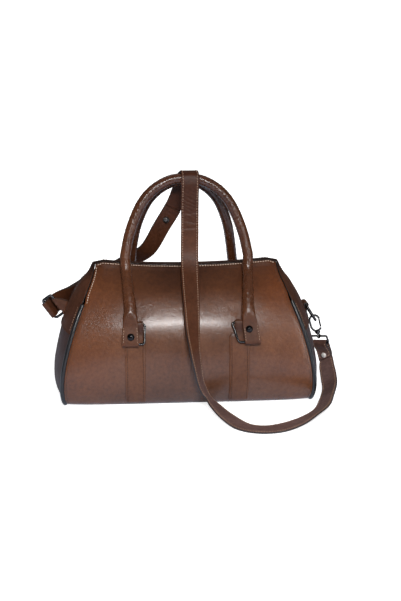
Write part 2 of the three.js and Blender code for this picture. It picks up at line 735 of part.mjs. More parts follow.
const route = strapRoute();
const rightTail = foldedBack(route, strapBar, STRAP.right_fold, 1);
const leftTail = foldedBack([...route].reverse(), leftRingFoot, STRAP.left_fold, -1);

function shoulderStrap() {
  const rows = [...[...rightTail].reverse(), ...route, ...leftTail];
  const path = rows.map((row) => row.point);
  const ways = tangents(path);
  let side = new Vector3().crossVectors(rows[0].face, ways[0]);
  const sides = rows.map((row, i) => {
    const wanted = new Vector3().crossVectors(row.face, ways[i]);
    if (wanted.dot(side) < 0) wanted.negate();
    if (wanted.length() > 0.3) side = wanted.normalize();
    return side.clone();
  });
  return strip(path, sides, path.map(() => STRAP.width), STRAP.thickness);
}

// A rivet head on a folded layer, some way before its end
function strapRivet(tail, sign, fromEnd) {
  const row = tail.at(-1 - fromEnd);
  const next = tail.at(-fromEnd);
  const way = next.point.clone().sub(row.point).normalize();
  const middle = row.point.clone().lerp(next.point, 0.5);
  const facing = row.face.clone().add(next.face).projectOnPlane(way).normalize().multiplyScalar(sign);
  const seat = along(middle, facing, STRAP.thickness / 2 + STRAP_RIVET.seat);
  return rivetHead(seat, facing, STRAP_RIVET.radius);
}

// Materials

const finish = (color, roughness, metalness) =>
  new THREE.MeshStandardMaterial({ color, roughness, metalness });
const brownLeather = finish('#5a3020', 0.42, 0);
const darkLeather = finish('#3a2119', 0.5, 0);
const blackPiping = finish('#15151a', 0.4, 0);
const zipFabric = finish('#121113', 0.85, 0);
const gunmetal = finish('#3c3b3d', 0.3, 1);
const brightSteel = finish('#c9c7c2', 0.25, 1);

// Scene graph

const bag = new THREE.Group();

function add(name, geometry, material) {
  const mesh = new THREE.Mesh(geometry, material);
  mesh.name = name;
  bag.add(mesh);
}

add('main_panel', mainPanel(), brownLeather);
add('zip_strip_front', zipStrip(-1), darkLeather);
add('zip_strip_back', zipStrip(1), darkLeather);
add('zip_tape', zipTape(), zipFabric);
for (const [sideName, side] of [['left', -1], ['right', 1]]) {
  add(`end_${sideName}`, lowerEnd(side), darkLeather);
  add(`piping_${sideName}`, piping(side), blackPiping);
  for (const [faceName, face] of [['front', -1], ['back', 1]]) {
    const place = `${faceName}_${sideName}`;
    add(`carry_tab_${place}`, carryTab(side, face), brownLeather);
    add(`handle_ring_${place}`, handleRing(side, face), gunmetal);
    add(`handle_rivet_${place}`, handleRivet(side, face), gunmetal);
  }
}
add('handle_front', handle(-1, FRONT_HANDLE), darkLeather);
add('handle_back', handle(1, BACK_HANDLE), darkLeather);
add('end_tab_left', leftEndTab(), darkLeather);
add('end_tab_right', rightEndTab(), darkLeather);
add('end_ring_left', endRing(leftBar, leftRingFoot, leftAcross), gunmetal);
add('end_ring_right', endRing(rightBar, rightRingFoot, Y_AXIS), gunmetal);
add('snap_hook', snapHook(), gunmetal);
add('hook_gate', hookGate(), gunmetal);
add('swivel_eye', swivelEye(), gunmetal);
add('strap_ring', strapRing(), gunmetal);
add('shoulder_strap', shoulderStrap(), darkLeather);
add('strap_rivet_right', strapRivet(rightTail, 1, 1), brightSteel);
add('strap_rivet_left', strapRivet(leftTail, -1, 2), gunmetal);

export default bag;
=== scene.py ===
# %% [markdown]
# # A leather shoulder bag
# The bag stands on a table: a long panel that is front, base and back, two swelling ends with black
# piping, a zip along the top, two rolled handles on metal rings, and a long strap laid over the handles.
# The solids already give the sizes. This lesson dresses them with leather, thread and metal.

# %% Load the frame
import math

import bpy
import numpy as np
from mathutils import Matrix, Vector


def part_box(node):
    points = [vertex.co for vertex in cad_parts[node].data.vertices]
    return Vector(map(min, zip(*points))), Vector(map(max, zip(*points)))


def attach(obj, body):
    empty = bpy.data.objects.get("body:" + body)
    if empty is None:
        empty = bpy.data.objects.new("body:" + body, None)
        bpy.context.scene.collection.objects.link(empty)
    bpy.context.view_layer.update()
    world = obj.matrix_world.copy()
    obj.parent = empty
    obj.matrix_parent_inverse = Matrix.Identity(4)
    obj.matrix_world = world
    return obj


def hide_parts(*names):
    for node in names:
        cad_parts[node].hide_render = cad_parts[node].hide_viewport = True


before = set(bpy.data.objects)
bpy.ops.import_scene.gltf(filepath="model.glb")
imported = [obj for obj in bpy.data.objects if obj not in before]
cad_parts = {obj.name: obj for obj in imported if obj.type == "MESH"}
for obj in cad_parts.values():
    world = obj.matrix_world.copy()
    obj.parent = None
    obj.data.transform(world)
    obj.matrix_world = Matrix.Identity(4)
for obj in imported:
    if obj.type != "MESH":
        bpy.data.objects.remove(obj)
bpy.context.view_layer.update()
MM = 0.001


def deselect():
    bpy.ops.object.select_all(action='DESELECT')


deselect()

# %% [markdown]
# ## Camera
# The picture was taken from a little above and slightly from the left. A long lens keeps the bag's
# upright edges nearly parallel. The lens shift only moves the picture in its frame.

# %% Camera
PICTURE = (401, 601)
FOCAL_PIXELS = 960
AIM = Vector((0, 0, 0.150))
AIM_PIXEL = (185, 286.8)
AZIMUTH = math.radians(-4)
ELEVATION = math.radians(14)
DISTANCE = 1.4
SENSOR = 36

view_way = Vector((math.sin(AZIMUTH) * math.cos(ELEVATION), -math.cos(AZIMUTH) * math.cos(ELEVATION),
                   math.sin(ELEVATION)))
bpy.ops.object.camera_add(location=AIM + DISTANCE * view_way)
camera = bpy.context.active_object
camera.rotation_euler = view_way.to_track_quat('Z', 'Y').to_euler()
camera.data.sensor_width = SENSOR
camera.data.lens = SENSOR * FOCAL_PIXELS / PICTURE[1]
camera.data.shift_x = (PICTURE[0] / 2 - AIM_PIXEL[0]) / PICTURE[1]
camera.data.shift_y = (AIM_PIXEL[1] - PICTURE[1] / 2) / PICTURE[1]
bpy.context.scene.camera = camera
print('camera at', [round(c, 3) for c in camera.location])

# %% [markdown]
# ## Table and light
# The bag stands on a plain white ground that runs up into a dome, so that it is white from every side. A
# white room would throw so much light back that dark leather looks chalky. The dome is therefore shown to
# the camera only, with a glow that is a little weaker near the bag, where its shade lies. The leather is
# lit by a cool grey table just under the dome's floor and by soft boxes.

# %% Ground
DOME_RADIUS = 6
FLOOR_GLOW = {'From Min': 0.25, 'From Max': 0.8, 'To Min': 0.8, 'To Max': 1.0}
TABLE_SIZE = 2.4
TABLE_DROP = 0.0006
TABLE_GLOW = 0.2
STAGE_ROUGHNESS = 0.8


def stage_paint(name, colour, glow):
    paint = bpy.data.materials.new(name)
    paint.use_nodes = True
    shader = paint.node_tree.nodes['Principled BSDF']
    shader.inputs['Base Color'].default_value = (*colour, 1)
    shader.inputs['Emission Color'].default_value = (*glow, 1)
    shader.inputs['Roughness'].default_value = STAGE_ROUGHNESS
    return paint, shader


bpy.ops.mesh.primitive_plane_add(size=TABLE_SIZE, location=(0, 0, -TABLE_DROP))
grey_table = bpy.context.active_object
grey_table.name = 'grey_table'
bpy.ops.object.transform_apply(location=True)
grey_paint, grey_shader = stage_paint('grey_paint', (0.76, 0.82, 1.0), (0.75, 0.88, 1))
grey_shader.inputs['Emission Strength'].default_value = TABLE_GLOW
grey_table.data.materials.append(grey_paint)

deselect()
bpy.ops.mesh.primitive_uv_sphere_add(segments=64, ring_count=32, radius=DOME_RADIUS)
dome = bpy.context.active_object
dome.name = 'white_dome'
bpy.ops.object.mode_set(mode='EDIT')
bpy.ops.mesh.select_all(action='SELECT')
bpy.ops.mesh.bisect(plane_co=(0, 0, 0), plane_no=(0, 0, 1), clear_inner=True, use_fill=True)
bpy.ops.object.mode_set(mode='OBJECT')
dome.visible_diffuse = False
dome.visible_glossy = False
dome.visible_shadow = False
white_paint, white_shader = stage_paint('white_paint', (0.9, 0.9, 0.9), (1, 1, 1))
white_nodes = white_paint.node_tree.nodes
white_links = white_paint.node_tree.links
from_middle = white_nodes.new('ShaderNodeVectorMath')
from_middle.operation = 'LENGTH'
glow = white_nodes.new('ShaderNodeMapRange')
for socket, value in FLOOR_GLOW.items():
    glow.inputs[socket].default_value = value
white_links.new(white_nodes.new('ShaderNodeTexCoord').outputs['Object'], from_middle.inputs[0])
white_links.new(from_middle.outputs['Value'], glow.inputs['Value'])
white_links.new(glow.outputs['Result'], white_shader.inputs['Emission Strength'])
dome.data.materials.append(white_paint)
print('dome', [round(c, 2) for c in dome.dimensions])

# %% [markdown]
# The key light is a small soft box in front and above: it draws the bright band across the swell of the
# front panel. A wider fill round it lights the leather but leaves no gloss, and so do the boxes on both
# sides and behind. The narrow strip on the right does the opposite: it shows only as a gloss, on handles
# and metal. A broad weak box in front gives the lower leather its waxy veil. The box above is weak too, so
# the slanting upper leather keeps its deep colour.

# %% Lights
WORLD_COLOUR = (1.0, 0.96, 0.92, 1)
WORLD_STRENGTH = 0.09
LIGHT_AIM = Vector((0, 0, 0.1))
NO_GLOSS = ('fill', 'left', 'right', 'back')
GLOSS_ONLY = ('strip',)
SOFT_BOXES = {
    'key': {'at': (0.08, -1.75, 1.24), 'size': (0.42, 0.18), 'power': 18},
    'fill': {'at': (-0.04, -1.75, 1.24), 'size': (0.66, 0.3), 'power': 18},
    'front': {'at': (0.0, -2.4, 0.4), 'size': (3.0, 0.8), 'power': 0.8},
    'top': {'at': (0.1, 0.75, 2.1), 'size': (2.4, 1.2), 'power': 4},
    'left': {'at': (-2.2, -0.2, 1.0), 'size': (0.9, 0.9), 'power': 6},
    'right': {'at': (2.2, -0.1, 1.0), 'size': (0.9, 0.9), 'power': 6},
    'strip': {'at': (1.35, -1.65, 0.5), 'size': (0.12, 1.8), 'power': 11},
    'back': {'at': (0.0, 2.2, 1.0), 'size': (2.4, 0.8), 'power': 16},
}

world = bpy.data.worlds.new('studio')
world.use_nodes = True
background = world.node_tree.nodes['Background']
background.inputs['Color'].default_value = WORLD_COLOUR
background.inputs['Strength'].default_value = WORLD_STRENGTH
bpy.context.scene.world = world
bpy.context.scene.view_settings.view_transform = 'Standard'
for box_name, box in SOFT_BOXES.items():
    bpy.ops.object.light_add(type='AREA', location=box['at'])
    lamp = bpy.context.active_object
    lamp.name = 'soft_box_' + box_name
    lamp.data.shape = 'RECTANGLE'
    lamp.data.size, lamp.data.size_y = box['size']
    lamp.data.energy = box['power']
    lamp.visible_glossy = box_name not in NO_GLOSS
    lamp.visible_diffuse = box_name not in GLOSS_ONLY
    lamp.rotation_euler = (lamp.location - LIGHT_AIM).to_track_quat('Z', 'Y').to_euler()
print('soft boxes', len(SOFT_BOXES))

# %% [markdown]
# ## Finishes
# Polished leather is a warm brown with cloudy patches, a fine pebble grain and a waxy coat. Each finish
# reads Object coordinates, so the grain has the same size on every piece and stays where it is. A cut edge
# is burnished nearly black, thread is dull, and the metal is dark and smooth with faint scratches.

# %% Node helpers
def add_node(finish, kind, **inputs):
    node = finish.node_tree.nodes.new(kind)
    for socket, value in inputs.items():
        node.inputs[socket.replace('_', ' ')].default_value = value
    return node


def join(finish, source, target):
    finish.node_tree.links.new(source, target)


def start_finish(name, roughness, **sockets):
    finish = bpy.data.materials.new(name)
    finish.use_nodes = True
    shader = finish.node_tree.nodes['Principled BSDF']
    shader.inputs['Roughness'].default_value = roughness
    for socket, value in sockets.items():
        shader.inputs[socket.replace('_', ' ')].default_value = value
    place = add_node(finish, 'ShaderNodeTexCoord').outputs['Object']
    return finish, shader, place


def ramp(finish, source, stops):
    node = finish.node_tree.nodes.new('ShaderNodeValToRGB')
    band = node.color_ramp
    while len(band.elements) < len(stops):
        band.elements.new(0.5)
    for element, (position, colour) in zip(band.elements, stops):
        element.position = position
        element.color = (*colour, 1)
    join(finish, source, node.inputs['Fac'])
    return node.outputs['Color']


def spread(finish, source, low, high):
    node = finish.node_tree.nodes.new('ShaderNodeMapRange')
    node.inputs['To Min'].default_value = low
    node.inputs['To Max'].default_value = high
    join(finish, source, node.inputs['Value'])
    return node.outputs['Result']


def mixed(finish, mode, amount, first, second):
    node = finish.node_tree.nodes.new('ShaderNodeMix')
    node.data_type = 'RGBA'
    node.blend_type = mode
    if isinstance(amount, float):
        node.inputs['Factor'].default_value = amount
    else:
        join(finish, amount, node.inputs['Factor'])
    for socket, value in (('A', first), ('B', second)):
        slot = [i for i in node.inputs if i.name == socket and i.type == 'RGBA'][0]
        if isinstance(value, tuple):
            slot.default_value = (*value, 1)
        else:
            join(finish, value, slot)
    return [o for o in node.outputs if o.type == 'RGBA'][0]


def relief(finish, shader, layers):
    before = None
    for height, depth, strength in layers:
        bump = add_node(finish, 'ShaderNodeBump', Strength=strength, Distance=depth)
        join(finish, height, bump.inputs['Height'])
        if before:
            join(finish, before, bump.inputs['Normal'])
        before = bump.outputs['Normal']
    join(finish, before, shader.inputs['Normal'])


print('finishes before the first leather', len(bpy.data.materials))

# %% [markdown]
# One recipe makes every leather. Clouds of noise vary the dye, small cells make the pebble grain, fine noise
# makes the pores, and two slower layers the creases and the mottle. The same layers feed the bumps, so light
# catches the grain that the colour shows. The leathers differ in dye, gloss and how creased they are.

# %% Leather
GRAIN_PER_METRE = 780
CLOUDS_PER_METRE = 16
CREASES_PER_METRE = 90
MOTTLE_PER_METRE = 230
CREASE_DEPTH = 0.0006
MOTTLE_DEPTH = 0.0004
PORE_DEPTH = 0.00008
COAT_ROUGHNESS = 0.22
PLAIN = (1, 1, 1)
CLOUD_STOPS = (0.28, 0.5, 0.74)
PIT_TINTS = [(0.0, PLAIN), (0.8, (0.8, 0.77, 0.76))]
STAIN_TINTS = [(0.2, (0.74, 0.72, 0.7)), (0.5, PLAIN), (0.8, (1.24, 1.22, 1.2))]


def leather(name, shades, roughness, grain=0.00016, coat=0.3, shine=0.5, creasing=0.3):
    """A leather from three shades of its dye: the finish, its shader and the place it reads."""
    finish, shader, place = start_finish(name, roughness, Coat_Weight=coat, Coat_Roughness=COAT_ROUGHNESS,
                                         Specular_IOR_Level=shine)
    clouds = add_node(finish, 'ShaderNodeTexNoise', Scale=CLOUDS_PER_METRE, Detail=5.0, Roughness=0.6)
    pebbles = add_node(finish, 'ShaderNodeTexVoronoi', Scale=GRAIN_PER_METRE)
    pores = add_node(finish, 'ShaderNodeTexNoise', Scale=2 * GRAIN_PER_METRE, Detail=3.0)
    creases = add_node(finish, 'ShaderNodeTexNoise', Scale=CREASES_PER_METRE, Detail=6.0, Roughness=0.65)
    mottle = add_node(finish, 'ShaderNodeTexNoise', Scale=MOTTLE_PER_METRE, Detail=2.0)
    for texture in (clouds, pebbles, pores, creases, mottle):
        join(finish, place, texture.inputs['Vector'])
    dye = ramp(finish, clouds.outputs['Fac'], list(zip(CLOUD_STOPS, shades)))
    pits = ramp(finish, pebbles.outputs['Distance'], PIT_TINTS)
    stains = ramp(finish, mottle.outputs['Fac'], STAIN_TINTS)
    dye = mixed(finish, 'MULTIPLY', 1.0, mixed(finish, 'MULTIPLY', 0.6, dye, pits), stains)
    join(finish, dye, shader.inputs['Base Color'])
    join(finish, spread(finish, creases.outputs['Fac'], roughness - 0.07, roughness + 0.1),
         shader.inputs['Roughness'])
    relief(finish, shader, [(creases.outputs['Fac'], CREASE_DEPTH, creasing),
                            (mottle.outputs['Fac'], MOTTLE_DEPTH, creasing),
                            (pebbles.outputs['Distance'], grain, 0.4),
                            (pores.outputs['Fac'], PORE_DEPTH, 0.3)])
    return finish, shader, place


WARM_BROWN = [(0.09, 0.03, 0.0105), (0.122, 0.042, 0.0155), (0.155, 0.057, 0.022)]
DEEP_BROWN = [(0.034, 0.0145, 0.0105), (0.046, 0.0195, 0.014), (0.06, 0.026, 0.018)]
RED_BROWN = [(0.064, 0.021, 0.0085), (0.086, 0.029, 0.0115), (0.115, 0.04, 0.0165)]
STRAP_BROWN = [(0.06, 0.0205, 0.0093), (0.079, 0.027, 0.012), (0.104, 0.0375, 0.0175)]
GUSSET_BROWN = [(0.055, 0.02, 0.0105), (0.075, 0.028, 0.0145), (0.1, 0.038, 0.02)]
# A pale brown for the panel's cut rim: partly worn leather, partly a painted highlight along the lip and the
# bare seams.
WORN_AND_LIT_BROWN = [(0.26, 0.15, 0.1), (0.34, 0.2, 0.14), (0.45, 0.28, 0.2)]
EDGE_BLACK = [(0.012, 0.007, 0.006), (0.016, 0.009, 0.007), (0.022, 0.012, 0.01)]
PIPING_BLACK = [(0.006, 0.006, 0.007), (0.009, 0.009, 0.0105), (0.013, 0.013, 0.015)]

panel_finish = leather('panel_leather', WARM_BROWN, 0.3, grain=0.00022, coat=0.35, creasing=0.5)
tab_finish = leather('tab_leather', WARM_BROWN, 0.42, coat=0.15, shine=0.4)
dark_leather = leather('dark_leather', DEEP_BROWN, 0.58, coat=0.0, shine=0.3)[0]
gusset_finish = leather('gusset_leather', GUSSET_BROWN, 0.55, coat=0.0, shine=0.12)
handle_finish = leather('handle_leather', RED_BROWN, 0.26, coat=0.0, shine=0.6, creasing=0.9)
ear_leather = leather('ear_leather', RED_BROWN, 0.45, coat=0.0, shine=0.35, creasing=0.6)[0]
strap_finish = leather('strap_leather', STRAP_BROWN, 0.42, coat=0.0, shine=0.22, creasing=0.6)
# The panel's pale rim: wear and a painted highlight.
worn_and_lit_edge = leather('worn_and_lit_edge', WORN_AND_LIT_BROWN, 0.6, coat=0.0)[0]
edge_paint = leather('edge_paint', EDGE_BLACK, 0.5)[0]
piping_leather = leather('piping_leather', PIPING_BLACK, 0.33)[0]
# These finishes get painted light and shade multiplied into their dye further down.
PAINTED_LIGHT_FINISHES = (panel_finish, tab_finish, gusset_finish, handle_finish, strap_finish)
panel_leather, tab_leather, gusset_leather, handle_leather, strap_leather = (f[0] for f in PAINTED_LIGHT_FINISHES)
print('leathers', [m.name for m in bpy.data.materials if 'leather' in m.name])

# %% [markdown]
# The colour here is not even, and most of what these ramps do is painted light and shade. The panel is
# darker towards the lip, a painted shade, and bluer and greyer near the base, a painted reflection of the
# table. It is more orange towards the ends, with a painted shade in the middle under the handles and a
# painted patch of light at the right shoulder. The tabs' folded tops and the strips beside the zip are
# darker at the top, painted shade under the ears and in the mouth, and the tabs are bluer near the base.
# Strap and handles are darker at the top too, a painted shade, and the strap is paler and greyer where it
# lies on the table, a painted sheen. Ramps along a height or length, or out from a spot, multiply the dye.

# %% Painted light and shade
BAG_HEIGHT = 0.2
HALF_LENGTH = 0.18
TOP_HEIGHT = 0.32


def worked(finish, kind, operation, source, value=None):
    """A maths node on a source, with a fixed second value where it has one."""
    node = add_node(finish, kind)
    node.operation = operation
    join(finish, source, node.inputs[0])
    if value is not None:
        node.inputs[1].default_value = value
    return node


# Multiplies the dye by a ramp that paints light and shade into it.
def paint_light_into_dye(finish, shader, amount, stops):
    dye = shader.inputs['Base Color'].links[0].from_socket
    shaded = mixed(finish, 'MULTIPLY', 1.0, dye, ramp(finish, amount, stops))
    join(finish, shaded, shader.inputs['Base Color'])


def tone_and_painted_light_along(finish, shader, place, axis, size, stops):
    """Multiplies a dye by a ramp, mostly painted light and shade, along the distance from the middle as a
    share of a size in metres.
    """
    axes = add_node(finish, 'ShaderNodeSeparateXYZ')
    join(finish, place, axes.inputs['Vector'])
    distance = worked(finish, 'ShaderNodeMath', 'ABSOLUTE', axes.outputs[axis])
    share = worked(finish, 'ShaderNodeMath', 'DIVIDE', distance.outputs['Value'], size)
    paint_light_into_dye(finish, shader, share.outputs['Value'], stops)


def painted_light_spot(finish, shader, place, centre, reach, stops):
    """Multiplies a dye by a ramp of painted light and shade outwards from a place, in metres, with its own
    reach along each axis.
    """
    away = worked(finish, 'ShaderNodeVectorMath', 'SUBTRACT', place, centre)
    scaled = worked(finish, 'ShaderNodeVectorMath', 'DIVIDE', away.outputs['Vector'], reach)
    length = worked(finish, 'ShaderNodeVectorMath', 'LENGTH', scaled.outputs['Vector'])
    paint_light_into_dye(finish, shader, length.outputs['Value'], stops)


# Painted reflection and shade: the panel is bluer and greyer near the base, where the table is reflected, and
# darker towards the lip, where it faces the dark room.
tone_and_painted_light_along(*panel_finish, 'Z', BAG_HEIGHT,
     [(0.0, (0.8, 0.92, 1.15)), (0.2, (0.92, 0.98, 1.08)), (0.5, PLAIN), (0.75, (0.84, 0.8, 0.78)),
      (0.94, (0.5, 0.46, 0.44))])
# Painted shade: a dark patch in the middle under the lip, between the handles.
painted_light_spot(*panel_finish, (-0.012, 0, 0.19), (0.075, 1, 0.05),
     [(0.0, (0.62, 0.58, 0.55)), (0.5, (0.75, 0.72, 0.7)), (1.0, PLAIN)])
# Painted light: a paler patch at the right shoulder.
painted_light_spot(*panel_finish, (0.125, 0, 0.165), (0.06, 1, 0.05), [(0.0, (1.32, 1.24, 1.08)), (1.0, PLAIN)])
tone_and_painted_light_along(*panel_finish, 'X', HALF_LENGTH,
     [(0.0, (0.92, 0.94, 0.97)), (0.45, PLAIN), (0.8, (1.24, 1.13, 0.96)), (1.0, (1.15, 1.04, 0.9))])
# Painted reflection and shade: the tabs are bluer near the base and darker where their tops fold under the
# ears.
tone_and_painted_light_along(*tab_finish, 'Z', BAG_HEIGHT, [(0.0, (0.9, 0.95, 1.05)), (0.49, PLAIN), (0.53, (0.55, 0.5, 0.48))])
# Painted shade: the strips beside the zip turn nearly black at the top, where they sink into the mouth.
tone_and_painted_light_along(*gusset_finish, 'Z', BAG_HEIGHT, [(0.84, PLAIN), (0.94, (0.22, 0.2, 0.2))])
# Painted sheen and shade: the strap is paler and bluer where it lies on the table, a painted veil of
# reflected light, and darker near the top, where less light reaches it.
tone_and_painted_light_along(*strap_finish, 'Z', TOP_HEIGHT,
     [(0.05, (1.75, 3.0, 6.0)), (0.16, (1.6, 2.6, 4.8)), (0.28, PLAIN), (0.72, PLAIN),
      (0.9, (0.58, 0.5, 0.45))])
# Painted shade: the handles are darker at the top of the arch.
tone_and_painted_light_along(*handle_finish, 'Z', TOP_HEIGHT, [(0.65, PLAIN), (0.92, (0.72, 0.66, 0.62))])
print('tinted', [finish.name for finish, _, _ in PAINTED_LIGHT_FINISHES])

# %% [markdown]
# Thread is dull, and fine noise stands for its twist. The zip's tape is a close weave, so a wave texture
# gives its colour and its ribs. Metal gets smears in its gloss and fine scratches in its surface. Only the
# strap's two rivets differ from the dark metal: one is worn, and one is bright steel whose pale, barely
# metallic colour also paints in the reflection that makes it shine.

# %% Thread, zip and metal
def two_tone(finish, shader, texture, stops, shades):
    join(finish, ramp(finish, texture.outputs['Fac'], list(zip(stops, shades))), shader.inputs['Base Color'])


def thread(name, shades):
    finish, shader, place = start_finish(name, 0.75)
    twist = add_node(finish, 'ShaderNodeTexNoise', Scale=900.0, Detail=2.0)
    join(finish, place, twist.inputs['Vector'])
    two_tone(finish, shader, twist, (0.3, 0.7), shades)
    return finish


pale_thread = thread('pale_thread', [(0.5, 0.36, 0.27), (0.7, 0.54, 0.42)])
brown_thread = thread('brown_thread', [(0.05, 0.025, 0.016), (0.1, 0.05, 0.033)])
strap_thread = thread('strap_thread', [(0.26, 0.155, 0.1), (0.4, 0.26, 0.18)])

zip_cloth, zip_shader, zip_place = start_finish('zip_cloth', 0.85, Sheen_Weight=0.2)
weave = add_node(zip_cloth, 'ShaderNodeTexWave', Scale=420.0, Distortion=1.0)
join(zip_cloth, zip_place, weave.inputs['Vector'])
two_tone(zip_cloth, zip_shader, weave, (0.2, 0.8), [(0.006, 0.006, 0.007), (0.016, 0.015, 0.017)])
relief(zip_cloth, zip_shader, [(weave.outputs['Fac'], 0.0002, 0.5)])


def metal(name, shades, roughness, metallic=1.0):
    finish, shader, place = start_finish(name, roughness, Metallic=metallic)
    scratches = add_node(finish, 'ShaderNodeTexNoise', Scale=650.0, Detail=5.0)
    smears = add_node(finish, 'ShaderNodeTexNoise', Scale=120.0, Detail=3.0)
    for texture in (scratches, smears):
        join(finish, place, texture.inputs['Vector'])
    two_tone(finish, shader, smears, (0.3, 0.7), shades)
    join(finish, spread(finish, smears.outputs['Fac'], roughness - 0.06, roughness + 0.12),
         shader.inputs['Roughness'])
    relief(finish, shader, [(scratches.outputs['Fac'], 0.00004, 0.2)])
    return finish


gunmetal = metal('gunmetal', [(0.07, 0.068, 0.068), (0.13, 0.125, 0.125)], 0.22)
black_metal = metal('black_metal', [(0.018, 0.018, 0.02), (0.04, 0.038, 0.04)], 0.2)
worn_metal = metal('worn_metal', [(0.1, 0.094, 0.09), (0.17, 0.16, 0.15)], 0.25, 0.85)
# Bright steel with a painted reflection: its pale colour is mostly diffuse, so it shines without a bright
# room to reflect.
bright_steel = metal('bright_steel', [(0.78, 0.75, 0.71), (0.92, 0.89, 0.85)], 0.35, 0.25)
print('finishes', len(bpy.data.materials))

# %% [markdown]
# ## The bag's surfaces
# A row of the table is a station of the seam between a panel and an end, from the lip down to the middle of
# the base: half the width and depth there, the height, and how far leather swells past the seam. A smooth
# curve through the rows gives every place between them, so panel, ends, piping and tabs share one form.

# %% Seam table
SEAM_COLUMNS = ('half_width', 'half_depth', 'height', 'belly', 'lip_sag', 'drop', 'end_bulge', 'crown')
BASE_SEAM = 3.2
BASE_DROP = 2.2
SEAM_ROWS = [
    (129.0, 20.0, 194, 4, 7, 0, 4, 2.5),
    (133.0, 33.0, 176.5, 6, 4, 0, 9, 1),
    (139.5, 48.0, 158, 8, 1, 0, 14, 0),
    (149.0, 62.0, 136.5, 9, 0, 0, 17, 0),
    (158.0, 73.0, 114, 10, 0, 0, 17, 0),
    (166.0, 81.0, 90, 9, 0, 0, 16, 0),
    (172.5, 86.5, 65, 7, 0, 0, 15, 0),
    (176.5, 89.0, 40, 5, 0, 0, 15, 0),
    (177.0, 86.0, 18, 3, 0, 0.45, 13, 0),
    (174.0, 76.0, BASE_SEAM, 1, 0, 1, 0, 0),
    (172.0, 50.0, BASE_SEAM, 0, 0, 1, 0, 0),
    (171.0, 25.0, BASE_SEAM, 0, 0, 1, 0, 0),
    (170.0, 0.0, BASE_SEAM, 0, 0, 1, 0, 0),
]
LIP = dict(zip(SEAM_COLUMNS, SEAM_ROWS[0]))
HEEL_ROW = 9
HEEL = HEEL_ROW / (len(SEAM_ROWS) - 1)
PIPING_RADIUS = 3.15
PIPING_TOP = 141
CROSS_SEAM = 104
ZIP_HALF_WIDTH = 13
ZIP_SLIT = 9
LEATHER = 2.0
STRIP_LEATHER = 1.6
GAP = 0.3
WIRE = 1.5
FACES = ((-1, 'front'), (1, 'back'))
SIDES = ((-1, 'left'), (1, 'right'))
PLACES = [(face, side, face_name + '_' + side_name) for face, face_name in FACES for side, side_name in SIDES]


def smooth_curve(values):
    """A curve through evenly spaced values, read at a share of its length."""
    last = len(values) - 1

    def value_at(share):
        place = min(max(share, 0), 1) * last
        i = min(int(place), last - 1)
        t = place - i
        p0, p1, p2, p3 = (values[min(max(k, 0), last)] for k in (i - 1, i, i + 1, i + 2))
        v0 = (p2 - p0) / 2
        v1 = (p3 - p1) / 2
        return (2 * p1 - 2 * p2 + v0 + v1) * t ** 3 + (-3 * p1 + 3 * p2 - 2 * v0 - v1) * t * t + v0 * t + p1

    return value_at


seam = {name: smooth_curve([row[i] for row in SEAM_ROWS]) for i, name in enumerate(SEAM_COLUMNS)}
print('lip', LIP)

# %% [markdown]
# The table gives the places on each surface: on a seam, the panel, an end and the mouth, and at a lift over
# the panel or an end. A lift goes along the surface's own outward way, so that tabs and ears lie close on
# the swelling leather.

# %% Places on the surfaces
def blend(low, high, share):
    return low + (high - low) * share


def ease(value, low, high):
    t = min(max((value - low) / (high - low), 0), 1)
    return t * t * (3 - 2 * t)


def seam_height(share):
    return max(seam['height'](share), BASE_SEAM)


def seam_share(height):
    low, high = 0.0, HEEL
    for _ in range(40):
        middle = (low + high) / 2
        if seam['height'](middle) > height:
            low = middle
        else:
            high = middle
    return low


def seam_point(side, face, share):
    return Vector((side * seam['half_width'](share), face * seam['half_depth'](share), seam_height(share)))


def panel_point(x, face, share):
    across = x / seam['half_width'](share)
    fullness = 1 - across * across
    depth = seam['half_depth'](share) + seam['belly'](share) * fullness
    drop = BASE_DROP * min(seam['drop'](share), 1) * (1 - across ** 8)
    return Vector((x, face * depth, seam_height(share) - seam['lip_sag'](share) * fullness - drop))


NUDGE = 0.004


def over_panel(x, face, height, lift):
    share = seam_share(height)
    down = panel_point(x, face, share + NUDGE) - panel_point(x, face, share - NUDGE)
    outward = Vector((0, -down.z, down.y)).normalized() * face
    return panel_point(x, face, share) + outward * lift


def across_panel(x, face, height):
    share = seam_share(height)
    return (panel_point(x + 1, face, share) - panel_point(x - 1, face, share)).normalized()


def end_point(side, share, across):
    fullness = 1 - across * across
    x = seam['half_width'](share) + seam['end_bulge'](share) * fullness
    z = seam_height(share) + seam['crown'](share) * fullness
    return Vector((side * x, across * seam['half_depth'](share), z))


def over_end(side, height, lift):
    share = seam_share(height)
    down = end_point(side, share + NUDGE, 0) - end_point(side, share - NUDGE, 0)
    outward = Vector((-down.z * side, 0, down.x * side)).normalized()
    return end_point(side, share, 0) + outward * lift


def mouth_point(x, across):
    near_end = (x / LIP['half_width']) ** 2
    depth = LIP['half_depth'] + LIP['belly'] * (1 - near_end)
    crown = LIP['crown'] * near_end ** 2 * (1 - across * across)
    return Vector((x, across * depth, LIP['height'] - LIP['lip_sag'] * (1 - near_end) + crown))


SHOULDER_DROOP = {'by': 5, 'x': (116, 131), 'z': (156, 191)}
BACK_LIP_DROOP = {'by': 6, 'y': (-22, 22), 'z': (160, 189)}


def with_round_shoulders(grid):
    """The corners of the mouth droop, which makes the shoulders round, and so does the back lip."""
    drooped = np.array([[tuple(p) for p in row] for row in grid])
    for place in drooped.reshape(-1, 3):
        x, y, z = place
        place[2] -= SHOULDER_DROOP['by'] * ease(abs(x), *SHOULDER_DROOP['x']) * ease(z, *SHOULDER_DROOP['z'])
        place[2] -= BACK_LIP_DROOP['by'] * ease(y, *BACK_LIP_DROOP['y']) * ease(z, *BACK_LIP_DROOP['z'])
    return drooped


print('lip middle', [round(c, 1) for c in panel_point(0, -1, 0)])

